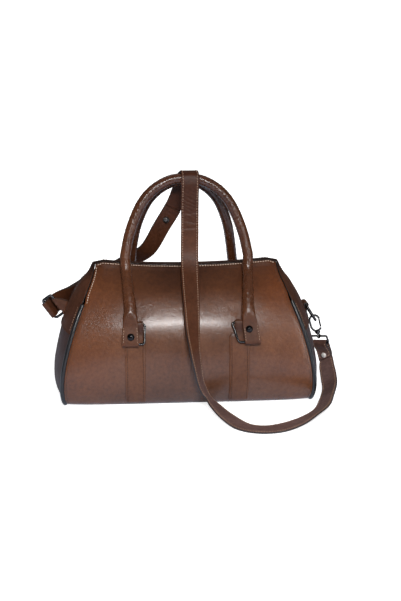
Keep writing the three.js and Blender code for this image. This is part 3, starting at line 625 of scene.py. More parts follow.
# %% [markdown]
# ## Ways of working
# Most leather here is a flat cut that is bent into place, so a grid primitive is laid out and its points
# are set on the surface, then Solidify gives it its thickness with a burnished rim and Bevel rounds the
# cut. Wires are curves with a round bevel, turned into meshes. Stitches are one modelled thread, copied.

# %% Helpers for pieces
def activate(piece):
    deselect()
    piece.select_set(True)
    bpy.context.view_layer.objects.active = piece


def named(name):
    piece = bpy.context.active_object
    piece.name = name
    piece.data.name = name
    return piece


def dress(piece, *finishes):
    piece.data.materials.clear()
    for finish in finishes:
        piece.data.materials.append(finish)


def mesh_piece(name, points, faces, finish):
    """A piece from points in metres and faces, for forms that no primitive starts."""
    mesh = bpy.data.meshes.new(name)
    mesh.from_pydata(points, [], faces)
    piece = bpy.data.objects.new(name, mesh)
    bpy.context.scene.collection.objects.link(piece)
    dress(piece, finish)
    return piece


def laid_grid(name, points):
    """A grid primitive whose points are set to the given rows of points, in millimetres."""
    rows = len(points) - 1
    columns = len(points[0]) - 1
    deselect()
    bpy.ops.mesh.primitive_grid_add(x_subdivisions=columns, y_subdivisions=rows, size=1)
    piece = named(name)
    for vertex in piece.data.vertices:
        i = round((vertex.co.y + 0.5) * rows)
        j = round((vertex.co.x + 0.5) * columns)
        vertex.co = Vector(points[i][j]) * MM
    return piece


def apply_modifier(piece, kind, **settings):
    activate(piece)
    modifier = piece.modifiers.new(kind.lower(), kind)
    for key, value in settings.items():
        setattr(modifier, key, value)
    bpy.ops.object.modifier_apply(modifier=modifier.name)


def smooth(piece, angle=40):
    activate(piece)
    bpy.ops.object.shade_smooth_by_angle(angle=math.radians(angle))


print('Blender', bpy.app.version_string)

# %% [markdown]
# Three more helpers make the pieces that are met again and again: a wall of leather, a round wire, and
# several meshes merged into one. A last one says which body a finished piece rides on and which solids it
# stands for.

# %% Walls, wires and finished pieces
def into_wall(piece, finish, thickness, edge=edge_paint, rounding=0.5):
    """Gives a laid grid its thickness, a rim of its own finish and rounded cuts."""
    dress(piece, finish, edge)
    apply_modifier(piece, 'SOLIDIFY', thickness=thickness * MM, offset=0, material_offset_rim=1)
    apply_modifier(piece, 'BEVEL', width=rounding * MM, segments=2, limit_method='ANGLE',
                   angle_limit=math.radians(50))
    smooth(piece)


def wire(name, path, radius, finish, closed=False, resolution=3):
    """A round wire along a path in millimetres."""
    deselect()
    bpy.ops.curve.primitive_bezier_curve_add()
    piece = named(name)
    line = piece.data
    line.splines.clear()
    spline = line.splines.new('POLY')
    spline.points.add(len(path) - 1)
    for point, place in zip(spline.points, path):
        point.co = (*(Vector(place) * MM), 1)
    spline.use_cyclic_u = closed
    line.dimensions = '3D'
    line.bevel_depth = radius * MM
    line.bevel_resolution = resolution
    line.use_fill_caps = True
    bpy.ops.object.convert(target='MESH')
    piece = bpy.context.active_object
    dress(piece, finish)
    smooth(piece, 50)
    return piece


def merge(name, pieces):
    activate(pieces[0])
    for piece in pieces[1:]:
        piece.select_set(True)
    bpy.ops.object.join()
    return named(name)


def done(piece, slot, *nodes, body='bag'):
    """Lets a finished piece ride on its body and stand for its solids."""
    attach(piece, body)
    if nodes:
        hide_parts(*nodes)
    print(piece.name, len(piece.data.polygons), 'faces')
    return piece


def shares(count):
    return [i / count for i in range(count + 1)]


# %% [markdown]
# A stitch is a short thread that dips into the leather at both ends. A small sphere, stretched and
# flattened, has that form. It is modelled once; a row of stitches is that shape set along a line on the
# surface, turned along the line and sunk by half.

# %% Stitches
STITCH_PITCH = 3.6
STITCH_LENGTH = 2.7
THREAD_RADIUS = 0.5

deselect()
bpy.ops.mesh.primitive_uv_sphere_add(segments=6, ring_count=5, radius=1)
one_stitch = bpy.context.active_object
STITCH_POINTS = [v.co.copy() for v in one_stitch.data.vertices]
STITCH_FACES = [tuple(p.vertices) for p in one_stitch.data.polygons]
bpy.data.objects.remove(one_stitch)
print('stitch', len(STITCH_FACES), 'faces')


def stitch_places(points, outwards, pitch=STITCH_PITCH):
    """Places, directions and normals of stitches along a line over a surface."""
    travelled = [0.0]
    for a, b in zip(points, points[1:]):
        travelled.append(travelled[-1] + (b - a).length)
    count = max(int(travelled[-1] / pitch), 1)
    places = []
    i = 0
    for k in range(count):
        goal = (k + 0.5) * travelled[-1] / count
        while travelled[i + 1] < goal:
            i += 1
        share = (goal - travelled[i]) / max(travelled[i + 1] - travelled[i], 1e-9)
        way = (points[i + 1] - points[i]).normalized()
        outward = outwards[i].lerp(outwards[i + 1], share)
        places.append((points[i].lerp(points[i + 1], share), way, outward))
    return places


def sew(name, finish, lines, radius=THREAD_RADIUS):
    """One piece with all the stitches of some lines; a line is its points and the outward ways."""
    points = []
    faces = []
    for line_points, outwards in lines:
        for place, way, outward in stitch_places(line_points, outwards):
            up = (outward - way * outward.dot(way)).normalized()
            side = way.cross(up)
            first = len(points)
            for p in STITCH_POINTS:
                local = way * (p.z * STITCH_LENGTH / 2) + side * (p.x * radius) + up * (p.y * radius)
                points.append((place + local) * MM)
            faces.extend(tuple(first + v for v in face) for face in STITCH_FACES)
    piece = mesh_piece(name, points, faces, finish)
    smooth(piece, 80)
    return done(piece, 'thread')


# %% [markdown]
# ## Main panel
# One wide cut of leather is front, base and back. Leather that has been carried is never an even curve:
# it has shallow hollows, it is drawn in above the handle rings, and a few creases run from the rings. The
# edge at the lip is turned over and sewn, which makes it a little thicker there.

# %% Shape of the panel
PANEL_ROWS = 176
PANEL_COLUMNS = 96
PANEL_RUN = 235
HEM = {'width': 7.5, 'rise': 0.55}
CALM = (4, 34)
TUCK = {'depth': 0.7, 'from': 0.965, 'over': 0.035}
HOLLOW = {'x': 79, 'z': 131, 'depth': 0.7, 'half_width': 21, 'half_height': 12}
CREASE = {'foot_z': 122, 'foot': 12, 'rise': 0.2, 'half_width': 1.8}
CREASE_SLOPES = ((0.85, 26), (0.35, 30))


def waviness(x, z, face):
    """Three sizes of shallow waves, shifted on the back so that both faces differ."""
    shift = 0.0 if face < 0 else 1.7
    broad = math.sin(0.023 * x + 0.9 + shift) * math.sin(0.037 * z + 0.5)
    slow = math.sin(0.041 * x - 0.026 * z + 2.1 + shift)
    quick = math.sin(0.083 * x + 0.061 * z + shift) * math.sin(0.052 * z - 0.03 * x + 1.1)
    return 0.5 * broad + 0.28 * slow + 0.16 * quick


def ring_pull(x, z):
    """The hollow above each handle ring and the creases that run from it towards the middle."""
    total = 0.0
    for side, _ in SIDES:
        dx = x - side * HOLLOW['x']
        total -= HOLLOW['depth'] * math.exp(-(dx / HOLLOW['half_width']) ** 2
                                            - ((z - HOLLOW['z']) / HOLLOW['half_height']) ** 2)
        for slope, far in CREASE_SLOPES:
            inner = -side * dx
            off = (z - CREASE['foot_z']) - slope * (inner - CREASE['foot'])
            ridge = math.exp(-(off / CREASE['half_width']) ** 2)
            total += CREASE['rise'] * (ridge * ease(inner, 10, 16) * (1 - ease(inner, far - 8, far + 6)))
    return total


def panel_rows():
    rows = []
    for v in shares(PANEL_ROWS):
        row = 2 * v - 1
        share = 1 - abs(row)
        face = -1 if row < 0 else 1
        bare = ease(seam_height(share), PIPING_TOP + 2, PIPING_TOP + 12)
        reach = seam['half_width'](share) - blend(PIPING_RADIUS * 0.75, 0.5, bare)
        rows.append([panel_point((2 * u - 1) * reach, face, share) for u in shares(PANEL_COLUMNS)])
    return rows


def surface_normals(rows):
    grid = np.array([[tuple(p) for p in row] for row in rows])
    normals = np.cross(np.gradient(grid, axis=0), np.gradient(grid, axis=1))
    return grid, normals / np.linalg.norm(normals, axis=2, keepdims=True)


def shaped_panel():
    grid, normals = surface_normals(panel_rows())
    for i, v in enumerate(shares(PANEL_ROWS)):
        face = -1 if v < 0.5 else 1
        from_lip = min(v, 1 - v) * 2 * PANEL_RUN
        for j, u in enumerate(shares(PANEL_COLUMNS)):
            x, _, z = grid[i, j]
            inside = 1 - abs(2 * u - 1) ** 6
            off_base = ease(z, *CALM)
            lip_calm = ease(from_lip, *CALM)
            offset = inside * off_base * (waviness(x, z, face) * lip_calm + ring_pull(x, z))
            offset += HEM['rise'] * (1 - ease(from_lip, HEM['width'] - 1.2, HEM['width'] + 0.8))
            tuck = -TUCK['depth'] * max(abs(2 * u - 1) - TUCK['from'], 0) / TUCK['over']
            grid[i, j] += normals[i, j] * (offset + tuck * off_base)
    return with_round_shoulders(grid)


panel_grid = shaped_panel()
way_out = surface_normals(panel_grid)[1]
print('front normal', way_out[PANEL_ROWS // 6, PANEL_COLUMNS // 2])

# %% [markdown]
# The grid of points becomes the panel: a wall of leather whose cut rim is pale, partly with wear and partly
# with a painted highlight.

# %% Panel
panel = laid_grid('main_panel_leather', panel_grid)
into_wall(panel, panel_leather, LEATHER, worn_and_lit_edge)
done(panel, 'brown_leather', 'main_panel')


def along_grid(grid, normals, cells, lift):
    points = [Vector(grid[i, j]) + Vector(normals[i, j]) * lift for i, j in cells]
    return points, [Vector(normals[i, j]) for i, j in cells]


# %% [markdown]
# Thread follows the lip and the end seams, one row of points in from the edge. It is pale along the lip and
# down the bare upper part of the left seams, and brown down the right seams and beside the piping.

# %% Stitches of the panel
LIP_THREAD_RADIUS = 0.7
BARE_TO = 21
PIPED_TO = 66
FRONT_ROWS = (range(2, BARE_TO), range(BARE_TO, PIPED_TO))
BACK_ROWS = (range(PANEL_ROWS - BARE_TO + 1, PANEL_ROWS - 1),
             range(PANEL_ROWS - PIPED_TO, PANEL_ROWS - BARE_TO + 1))


def panel_line(cells):
    return along_grid(panel_grid, way_out, cells, LEATHER / 2)


pale_lines = [panel_line([(row, j) for j in range(1, PANEL_COLUMNS)]) for row in (1, PANEL_ROWS - 1)]
brown_lines = []
for column, bare_lines in ((1, pale_lines), (PANEL_COLUMNS - 1, brown_lines)):
    for bare_rows, piped_rows in (FRONT_ROWS, BACK_ROWS):
        bare_lines.append(panel_line([(i, column) for i in bare_rows]))
        brown_lines.append(panel_line([(i, column) for i in piped_rows]))
sew('panel_stitches', pale_thread, pale_lines, LIP_THREAD_RADIUS)
sew('piping_stitches', brown_thread, brown_lines)

# %% [markdown]
# ## Ends and zip
# Each end is a lower piece of dark leather and, above a cross seam, the two strips beside the zip. They
# swell outwards between the front and back seams, with slow ripples in the lower piece.

# %% Lower ends
END_ROWS = 44
END_COLUMNS = 48
END_TOP = CROSS_SEAM - 0.4
END_FOOT = BASE_SEAM + 2.5
END_INSET = 0.8
END_RIPPLE = 0.6


def end_rows(side):
    rows = []
    top = seam_share(END_TOP)
    foot = seam_share(END_FOOT)
    for v in shares(END_ROWS):
        share = blend(top, foot, v)
        reach = 1 - PIPING_RADIUS * END_INSET / seam['half_depth'](share)
        row = []
        for u in shares(END_COLUMNS):
            across = (2 * u - 1) * reach
            point = end_point(side, share, across)
            ripple = END_RIPPLE * math.sin(0.05 * point.y + 0.7) * math.sin(0.06 * point.z + side)
            ripple *= 1 - across ** 4
            row.append(point + Vector((side * ripple * ease(point.z, 6, 30), 0, 0)))
        rows.append(row)
    return rows


for side, side_name in SIDES:
    end = laid_grid('end_leather_' + side_name, end_rows(side))
    into_wall(end, dark_leather, STRIP_LEATHER)
    done(end, 'dark_leather', 'end_' + side_name)

# %% [markdown]
# The band with the zip runs from the cross seam of the left end over the mouth to that of the right end. Its
# stations give the half depth and a place across the band, and all three cuts are laid over them: a strip
# from each long seam to the slit, and the tape under both. The strips' feet lie over the lower ends, which
# shows as a raised line at the cross seam.

# %% Zip band
BAND_CLIMB = 26
BAND_MOUTH = 60
BAND_OVERLAP = 2.2
MOUTH_INSET = 7
STRIP_INSET = 0.9
FOOT_RISE = {'by': 1.3, 'below': CROSS_SEAM + 1.5}
STRIP = {'columns': 10, 'lift': 0.5, 'zip_seam': 8}
TAPE = {'columns': 12, 'lift': -0.6, 'thickness': 1.0}


def band_stations():
    """Half depth, a place across and the height, from the left end over the mouth to the right end."""
    foot = seam_share(CROSS_SEAM - BAND_OVERLAP)
    climb = [blend(foot, 0, s) for s in shares(BAND_CLIMB)]
    reach = LIP['half_width'] - MOUTH_INSET
    left = [(seam['half_depth'](s), lambda a, s=s: end_point(-1, s, a), seam_height(s)) for s in climb]
    mouth = [blend(-reach, reach, s) for s in shares(BAND_MOUTH)]
    middle = [(mouth_point(x, 1).y, lambda a, x=x: mouth_point(x, a), LIP['height']) for x in mouth]
    right = [(d, lambda a, s=s: end_point(1, s, a), h) for s, (d, _, h) in zip(climb, left)]
    return left + middle + right[::-1]


def band_grid(from_depth, to_depth, columns, lift=0.0, face=1):
    """Points of a cut of the band and the ways out; with no start it begins at the long seam."""
    rows = []
    for depth, at, _ in band_stations():
        start = depth - STRIP_INSET if from_depth is None else from_depth
        rows.append([at(face * blend(start, to_depth, u) / depth) for u in shares(columns)])
    grid, normals = surface_normals(rows)
    outward = np.array([grid[:, :, 0] * 0.6, grid[:, :, 1] * 0, grid[:, :, 2] - 60]).transpose(1, 2, 0)
    flip = np.where((normals * outward).sum(axis=2, keepdims=True) < 0, -1, 1)
    at_foot = np.array([[height < FOOT_RISE['below']] for _, _, height in band_stations()])
    rise = lift + FOOT_RISE['by'] * at_foot[:, :, None]
    return with_round_shoulders(grid + normals * flip * rise), normals * flip


for face, face_name in FACES:
    strip_cut = band_grid(None, ZIP_SLIT / 2, STRIP['columns'], STRIP['lift'], face)
    strip = laid_grid('zip_strip_leather_' + face_name, strip_cut[0])
    into_wall(strip, gusset_leather, STRIP_LEATHER)
    done(strip, 'dark_leather', 'zip_strip_' + face_name)
    last = len(strip_cut[0]) - 1
    zip_cells = [[(i, STRIP['zip_seam']) for i in range(1, last)]]
    zip_cells += [[(i, j) for j in range(1, STRIP['columns'])] for i in (1, last - 1)]
    piped = [i for i in range(1, BAND_CLIMB) if strip_cut[0][i, 0, 2] < PIPING_TOP]
    gusset_cells = [[(i, 1) for i in piped], [(last - i, 1) for i in piped]]
    for name, finish, seams in (('zip_stitches_', brown_thread, zip_cells),
                                ('gusset_stitches_', strap_thread, gusset_cells)):
        sew(name + face_name, finish, [along_grid(*strip_cut, cells, STRIP_LEATHER / 2) for cells in seams])

tape_cut = band_grid(-ZIP_HALF_WIDTH, ZIP_HALF_WIDTH, TAPE['columns'], TAPE['lift'])
tape = laid_grid('zip_tape_cloth', tape_cut[0])
into_wall(tape, zip_cloth, TAPE['thickness'], zip_cloth, rounding=0.2)
done(tape, 'zip_fabric', 'zip_tape')

# %% [markdown]
# The zip's teeth are small metal blocks that lock in turn from both sides. One block is a cube with its
# edges bevelled; its copies alternate along the middle of the tape.

# %% Zip teeth
TOOTH = (1.5, 3.2, 1.3)
TOOTH_BEVEL = 0.3
TOOTH_PITCH = 1.7
TOOTH_LIFT = 0.9
TOOTH_SHIFT = 0.9

deselect()
bpy.ops.mesh.primitive_cube_add(size=1)
one_tooth = named('zip_tooth')
one_tooth.data.transform(Matrix.Diagonal((*TOOTH, 1)))
apply_modifier(one_tooth, 'BEVEL', width=TOOTH_BEVEL, segments=1, limit_method='NONE')
tooth_points = [v.co.copy() for v in one_tooth.data.vertices]
tooth_faces = [tuple(p.vertices) for p in one_tooth.data.polygons]
bpy.data.objects.remove(one_tooth)
tape_middle = along_grid(*tape_cut, [(i, TAPE['columns'] // 2) for i in range(len(tape_cut[0]))], TOOTH_LIFT)
points, faces = [], []
for k, (place, way, outward) in enumerate(stitch_places(*tape_middle, pitch=TOOTH_PITCH)):
    up = (outward - way * outward.dot(way)).normalized()
    turned_to = Matrix((way, up.cross(way), up)).transposed()
    shift = TOOTH_SHIFT if k % 2 else -TOOTH_SHIFT
    first = len(points)
    points.extend((place + turned_to @ (p + Vector((0, shift, 0)))) * MM for p in tooth_points)
    faces.extend(tuple(first + v for v in face) for face in tooth_faces)
teeth = mesh_piece('zip_teeth', points, faces, black_metal)
done(teeth, 'gunmetal')

# %% [markdown]
# ## Piping
# A cord wrapped in black leather is sewn into the lower part of each end seam and runs on under the base.
# A curve with a round bevel follows the seam, from its top in front round the base to its top behind.

# %% Piping
PIPING_STEPS = 90
for side, side_name in SIDES:
    top = seam_share(PIPING_TOP)
    run = [blend(top, 1, s) for s in shares(PIPING_STEPS)]
    path = [seam_point(side, -1, s) for s in run] + [seam_point(side, 1, s) for s in run[-2::-1]]
    cord = wire('piping_cord_' + side_name, path, PIPING_RADIUS, piping_leather, resolution=5)
    done(cord, 'black_piping', 'piping_' + side_name)

# %% [markdown]
# ## Carry tabs and rings
# A tab of leather is sewn up each side of the front and the back. Its narrow top folds over a metal ring,
# which the handle's ear folds round from below. The tab follows the panel's swell, so its points are set
# over the panel's surface at its own thickness. A row of the table gives one corner's places across the
# panel and how far its ring and ear lean.

# %% Carry tabs
TAB = {'width': 27, 'top_width': 17, 'flat_to': 103, 'pinch': 2, 'rows': 40, 'climb': 11, 'tail': 3}
CORNER_COLUMNS = ('tab', 'chape', 'ring', 'ring_lean', 'ear', 'ear_lean', 'rivet', 'rivet_rise')
CORNER_ROWS = {
    (-1, -1): (75.3, 72.8, 74.5, -1.5, 81.2, -0.5, 80.9, 0),
    (-1, 1): (69.5, 72.3, 72.5, 9, 82.5, 5, 82.4, 7),
    (1, -1): (73, 77.3, 78, -1.5, 82.2, -1.5, 82.2, 0),
    (1, 1): (73, 77.3, 78, 1.5, 82.2, 1.5, 82.2, 0),
}
CORNERS = {place: dict(zip(CORNER_COLUMNS, row)) for place, row in CORNER_ROWS.items()}
RING_TOP = {'height': 117, 'lift': 5.1}
RING_FOOT = {'height': 92, 'lift': 7.4}
TAB_LIFT = LEATHER + GAP
WIRE_WRAP = WIRE + GAP + LEATHER / 2


def fold_over(start, climb, low, bar, bar_lift, tail, fine=3):
    """Heights and lifts of a strip that climbs over a bar and ends as a tail behind it."""
    sign = 1 if bar > start else -1
    rise = [(bar - sign * climb * (1 - s), blend(low, bar_lift + WIRE_WRAP, ease(s, 0, 1)))
            for s in shares(4 * fine)]
    turn = [(bar + sign * WIRE_WRAP * math.sin(math.pi * s), bar_lift + WIRE_WRAP * math.cos(math.pi * s))
            for s in shares(6 * fine)[1:]]
    return rise + turn + [(bar - sign * tail, bar_lift - WIRE_WRAP)]


def tab_rows(side, face):
    """Height, lift, place across and width of a tab, from its foot to the tail of its fold."""
    foot = BASE_SEAM + 6
    corner = CORNERS[face, side]
    rows = []
    for s in shares(TAB['rows']):
        height = blend(foot, TAB['flat_to'] + TAB['pinch'], s)
        pinch = ease(height, TAB['flat_to'] - TAB['pinch'], TAB['flat_to'] + TAB['pinch'])
        rows.append((height, TAB_LIFT - 0.2, blend(corner['tab'], corner['chape'], pinch),
                     blend(TAB['width'], TAB['top_width'], pinch)))
    fold = fold_over(foot, TAB['climb'], TAB_LIFT, RING_TOP['height'], RING_TOP['lift'], TAB['tail'])
    rows.extend((h, lift, corner['chape'], TAB['top_width']) for h, lift in fold)
    return rows


SEAM_IN = 0.1
SEAM_SINK = 0.4
TAB_PROFILE = [(0, -0.55), (0.03, 0.1), (SEAM_IN - 0.035, 0.15), (SEAM_IN, -0.5), (SEAM_IN + 0.035, 0.15),
               (0.3, 0), (0.5, 0)]
TAB_PROFILE += [(1 - u, rise) for u, rise in TAB_PROFILE[-2::-1]]


def tab_grid(side, face):
    """Rows over the panel, with rounded borders and a groove where the thread lies."""
    return [[over_panel(side * x + (u - 0.5) * width, face, height, lift + rise) for u, rise in TAB_PROFILE]
            for height, lift, x, width in tab_rows(side, face)]


def seam_over_panel(face, rows):
    """A line of stitches over the panel, from rows of a place across, a height and a lift."""
    line = [over_panel(x, face, height, lift) for x, height, lift in rows]
    base = [over_panel(x, face, height, 0) for x, height, _ in rows]
    return line, [(a - b).normalized() for a, b in zip(line, base)]


for face, side, place_name in PLACES:
    tab = laid_grid('carry_tab_leather_' + place_name, tab_grid(side, face))
    into_wall(tab, tab_leather, LEATHER)
    done(tab, 'brown_leather', 'carry_tab_' + place_name)
    sewn_rows = tab_rows(side, face)[:TAB['rows'] - 1]
    lines = []
    for u in (SEAM_IN, 1 - SEAM_IN):
        lines.append(seam_over_panel(face, [(side * x + (u - 0.5) * w, h, lift + LEATHER / 2 - SEAM_SINK)
                                            for h, lift, x, w in sewn_rows]))
    sew('tab_stitches_' + place_name, brown_thread, lines)

# %% [markdown]
# A ring is a wire bent to a rectangle with round corners. Its corners are laid out as points on a closed
# curve, and the curve's bevel gives the wire. The rings hang a little askew, as the handles pull them.

# %% Handle rings
def rounded_loop(width, height, radius, fine=8):
    loop = []
    for quarter, (sx, sy) in enumerate(((1, 1), (-1, 1), (-1, -1), (1, -1))):
        for s in shares(fine):
            angle = (quarter + s) * math.pi / 2
            loop.append((sx * (width / 2 - radius) + radius * math.cos(angle),
                         sy * (height / 2 - radius) + radius * math.sin(angle)))
    return loop


def ring(name, centre, across, down, width, height, corner, radius=WIRE):
    path = [centre + across * a + down * b for a, b in rounded_loop(width, height, corner)]
    return wire(name, path, radius, gunmetal, closed=True, resolution=4)


RING_WIDTH = 27
RING_CORNER = 3
for face, side, place_name in PLACES:
    corner = CORNERS[face, side]
    top_x = side * corner['ring']
    top = over_panel(top_x, face, RING_TOP['height'], RING_TOP['lift'])
    foot = over_panel(top_x + corner['ring_lean'], face, RING_FOOT['height'], RING_FOOT['lift'])
    hoop = ring('handle_hoop_' + place_name, (top + foot) / 2, across_panel(top_x, face, RING_TOP['height']),
                (foot - top).normalized(), RING_WIDTH, (foot - top).length, RING_CORNER)
    done(hoop, 'gunmetal', 'handle_ring_' + place_name)

# %% [markdown]
# ## Rolled handles
# A handle is leather rolled round a cord and sewn along its inner side. Near its ends the roll opens into
# a flat ear, which folds round the ring from below and is held by a rivet. The form is a tube whose
# sections change from round to flat, so rows of rounded rectangles are bridged into one skin. First come the
# rows of one half: the arch, the leg down the panel and the fold round the ring.

# %% Rows of a handle
HANDLE_RADIUS = 7.3
ARCH = [(0, 8.8, 310), (17, 9.2, 308.5), (32, 10.8, 303.2), (47, 13.5, 293.6), (61, 17.5, 278.2),
        (72, 22, 257), (81, 28, 231.6), (87, 35, 204)]
arch = [smooth_curve([row[i] for row in ARCH]) for i in range(3)]
BACK_HANDLE_DROP = {'by': 5.5, 'z': (225, 302)}
ARCH_STEPS = 170
LEG_HEIGHTS = (180, 165, 150, 138, 124)
LEG_STEPS = 60
EAR_START = 112
EAR_HEIGHTS = (98, 121, 139, 156, 176)
EAR_HALF_WIDTHS = (11.2, 10.3, 8.6, 7.8, HANDLE_RADIUS)
EAR_LEAN = {'from': 128, 'over': 36}
EAR_FOLD = {'start': 140, 'climb': 18, 'tail': 10}
EAR_LIFT = RING_FOOT['lift'] + WIRE + GAP + LEATHER / 2
FLATTENING = (113, 137)
ROUND = 2.0
SQUARE = 7.0


def ear_shift(face, side, height):
    return CORNERS[face, side]['ear_lean'] * min(max((EAR_LEAN['from'] - height) / EAR_LEAN['over'], 0), 1)


def ear_half_width(height):
    return float(np.interp(height, EAR_HEIGHTS, EAR_HALF_WIDTHS))


def half_handle(side, face, spread_share):
    """Rows from the middle of the arch to the tail: place, half width, half thickness, squareness."""
    rows = []
    ear_x = CORNERS[face, side]['ear']
    for s in shares(ARCH_STEPS)[:-1]:
        height = arch[2](s)
        if face > 0:
            height -= BACK_HANDLE_DROP['by'] * ease(height, *BACK_HANDLE_DROP['z'])
        rows.append((Vector((side * spread_share * arch[0](s), face * arch[1](s), height)),
                     HANDLE_RADIUS, HANDLE_RADIUS, ROUND))
    lip_x = spread_share * ARCH[-1][0]
    legs = [Vector((side * lip_x, face * ARCH[-1][1], ARCH[-1][2]))]
    for i, height in enumerate(LEG_HEIGHTS):
        x = blend(lip_x, ear_x, min((i + 1) / (len(LEG_HEIGHTS) - 1), 1))
        legs.append(over_panel(side * x, face, height, EAR_LIFT))
    legs.append(over_panel(side * ear_x, face, EAR_START, EAR_LIFT))
    leg = [smooth_curve([p[k] for p in legs]) for k in range(3)]
    for s in shares(LEG_STEPS):
        place = Vector([leg[k](s) for k in range(3)])
        flat = 1 - ease(place.z, *FLATTENING)
        half_width = ear_half_width(place.z)
        place.x += ear_shift(face, side, place.z)
        half_thick = blend(HANDLE_RADIUS, LEATHER / 2 + 0.15, flat)
        rows.append((place, half_width, half_thick, blend(ROUND, SQUARE, flat)))
    fold = fold_over(EAR_FOLD['start'], EAR_FOLD['climb'], EAR_LIFT, RING_FOOT['height'], RING_FOOT['lift'],
                     EAR_FOLD['tail'])
    for height, lift in fold[1:]:
        shift = ear_shift(face, side, height)
        rows.append((over_panel(side * ear_x + shift, face, height, lift),
                     ear_half_width(height), LEATHER / 2, SQUARE))
    return rows


print('rows of half a handle', len(half_handle(1, -1, 1)))

# %% [markdown]
# Each row then gets a section across the handle's way. On the round part, small irregular crinkles run round
# the roll, as they do where leather is rolled tight. On the flat part, the section lies along the panel.

# %% Sections of a handle
HANDLE_SIDES = 36
RIVET_HEIGHT = 101
CRINKLE = 0.03
CRINKLE_PITCH = 6.2
CRINKLE_STARTS = 5


def handle_sections(face, spreads):
    """Sections from the left tail over the arch to the right tail, and each one's place and way."""
    left = half_handle(-1, face, spreads[0])
    right = half_handle(1, face, spreads[1])
    rows = left[::-1] + right[1:]
    across = Vector((1, 0, 0))
    sections = []
    ways = []
    travelled = 0.0
    before = rows[0][0]
    for i, (place, half_width, half_thick, squareness) in enumerate(rows):
        way = (rows[min(i + 1, len(rows) - 1)][0] - rows[max(i - 1, 0)][0]).normalized()
        round_way = way.cross(Vector((0, face, 0)))
        flat_way = across_panel(place.x, face, RIVET_HEIGHT)
        for wanted in (round_way, flat_way):
            if wanted.dot(across) < 0:
                wanted.negate()
        wanted = round_way.normalized().lerp(flat_way, ease(squareness, 2, 5))
        across = (wanted - way * wanted.dot(way)).normalized()
        outward = way.cross(across)
        travelled += (place - before).length
        before = place
        crinkle = CRINKLE * (1 - ease(squareness, 2, 4)) * (0.6 + 0.4 * math.sin(0.043 * travelled + face))
        power = 2 / squareness
        section = []
        for j in range(HANDLE_SIDES):
            angle = 2 * math.pi * j / HANDLE_SIDES
            c, s = math.cos(angle), math.sin(angle)
            twist = 2 * math.pi * travelled / CRINKLE_PITCH + CRINKLE_STARTS * angle
            twist += 1.6 * math.sin(0.23 * travelled + 2 * angle) + 1.1 * math.sin(0.57 * travelled - angle)
            ripple = 1 + crinkle * math.sin(twist + 0.8 * math.sin(0.11 * travelled))
            section.append(place + across * (math.copysign(abs(c) ** power, c) * half_width * ripple)
                           + outward * (math.copysign(abs(s) ** power, s) * half_thick * ripple))
        sections.append(section)
        ways.append((place, way))
    return sections, ways


def skin(name, sections, finish):
    """A closed tube through sections, with a face at both ends."""
    count = len(sections[0])
    points = [p * MM for section in sections for p in section]
    faces = []
    for i in range(len(sections) - 1):
        for j in range(count):
            k = (j + 1) % count
            faces.append((i * count + j, i * count + k, (i + 1) * count + k, (i + 1) * count + j))
    faces.append(tuple(range(count)))
    faces.append(tuple(range((len(sections) - 1) * count, len(sections) * count)))
    piece = mesh_piece(name, points, faces, finish)
    activate(piece)
    bpy.ops.object.mode_set(mode='EDIT')
    bpy.ops.mesh.select_all(action='SELECT')
    bpy.ops.mesh.normals_make_consistent(inside=False)
    bpy.ops.object.mode_set(mode='OBJECT')
    smooth(piece, 55)
    return piece


print('sides of a section', HANDLE_SIDES)

# %% [markdown]
# The ears take a duller leather than the rolls, as a second finish on the faces below a height. Brown thread
# closes the roll along its inner side, and paler thread runs along both edges of each ear. The back handle
# stands a little narrower, as it leans behind the front one.

# %% Handles
HANDLE_SPREADS = {'front': (1, 1), 'back': (0.87, 0.81)}
ROLL_SEWN_ABOVE = 150
ARCH_MIDDLE = 250
EAR_TOP = 130
EAR_SEWN = (93, 120)
EAR_SEAM_IN = 1.7
for face, face_name in FACES:
    sections, handle_line = handle_sections(face, HANDLE_SPREADS[face_name])
    roll = skin('handle_roll_' + face_name, sections, handle_leather)
    roll.data.materials.append(ear_leather)
    for polygon in roll.data.polygons:
        polygon.material_index = int(polygon.center.z < EAR_TOP * MM)
    done(roll, 'handle_leather', 'handle_' + face_name)
    inner, inner_out = [], []
    for place, way in handle_line:
        if place.z > ROLL_SEWN_ABOVE:
            towards = Vector((-place.x, 0, ARCH_MIDDLE - place.z))
            towards = (towards - way * towards.dot(way)).normalized()
            inner.append(place + towards * HANDLE_RADIUS)
            inner_out.append(towards)
    sew('handle_stitches_' + face_name, brown_thread, [(inner, inner_out)])
    ear_lines = []
    for side, _ in SIDES:
        for edge in (-1, 1):
            rows = []
            for height in range(*EAR_SEWN):
                x = side * CORNERS[face, side]['ear'] + ear_shift(face, side, height)
                x += edge * (ear_half_width(height) - EAR_SEAM_IN)
                rows.append((x, height, EAR_LIFT + LEATHER / 2))
            ear_lines.append(seam_over_panel(face, rows))
    sew('ear_stitches_' + face_name, strap_thread, ear_lines)

# %% [markdown]
# ## Rivets
# A rivet's cap is a low dome with a narrow rim. Half of a sphere is cut off and the rest flattened; a thin
# torus makes the rim. Each rivet sits where its solid is, turned to the way that the leather faces.

# %% Rivets
HANDLE_RIVET_RADIUS = 5.2
CAP = {'cut': 0.12, 'narrowed': 0.96, 'flattened': 0.62, 'seat': 0.33, 'sink': 0.35}
RIM = {'radius': 0.88, 'wire': 0.12, 'rise': 0.1}


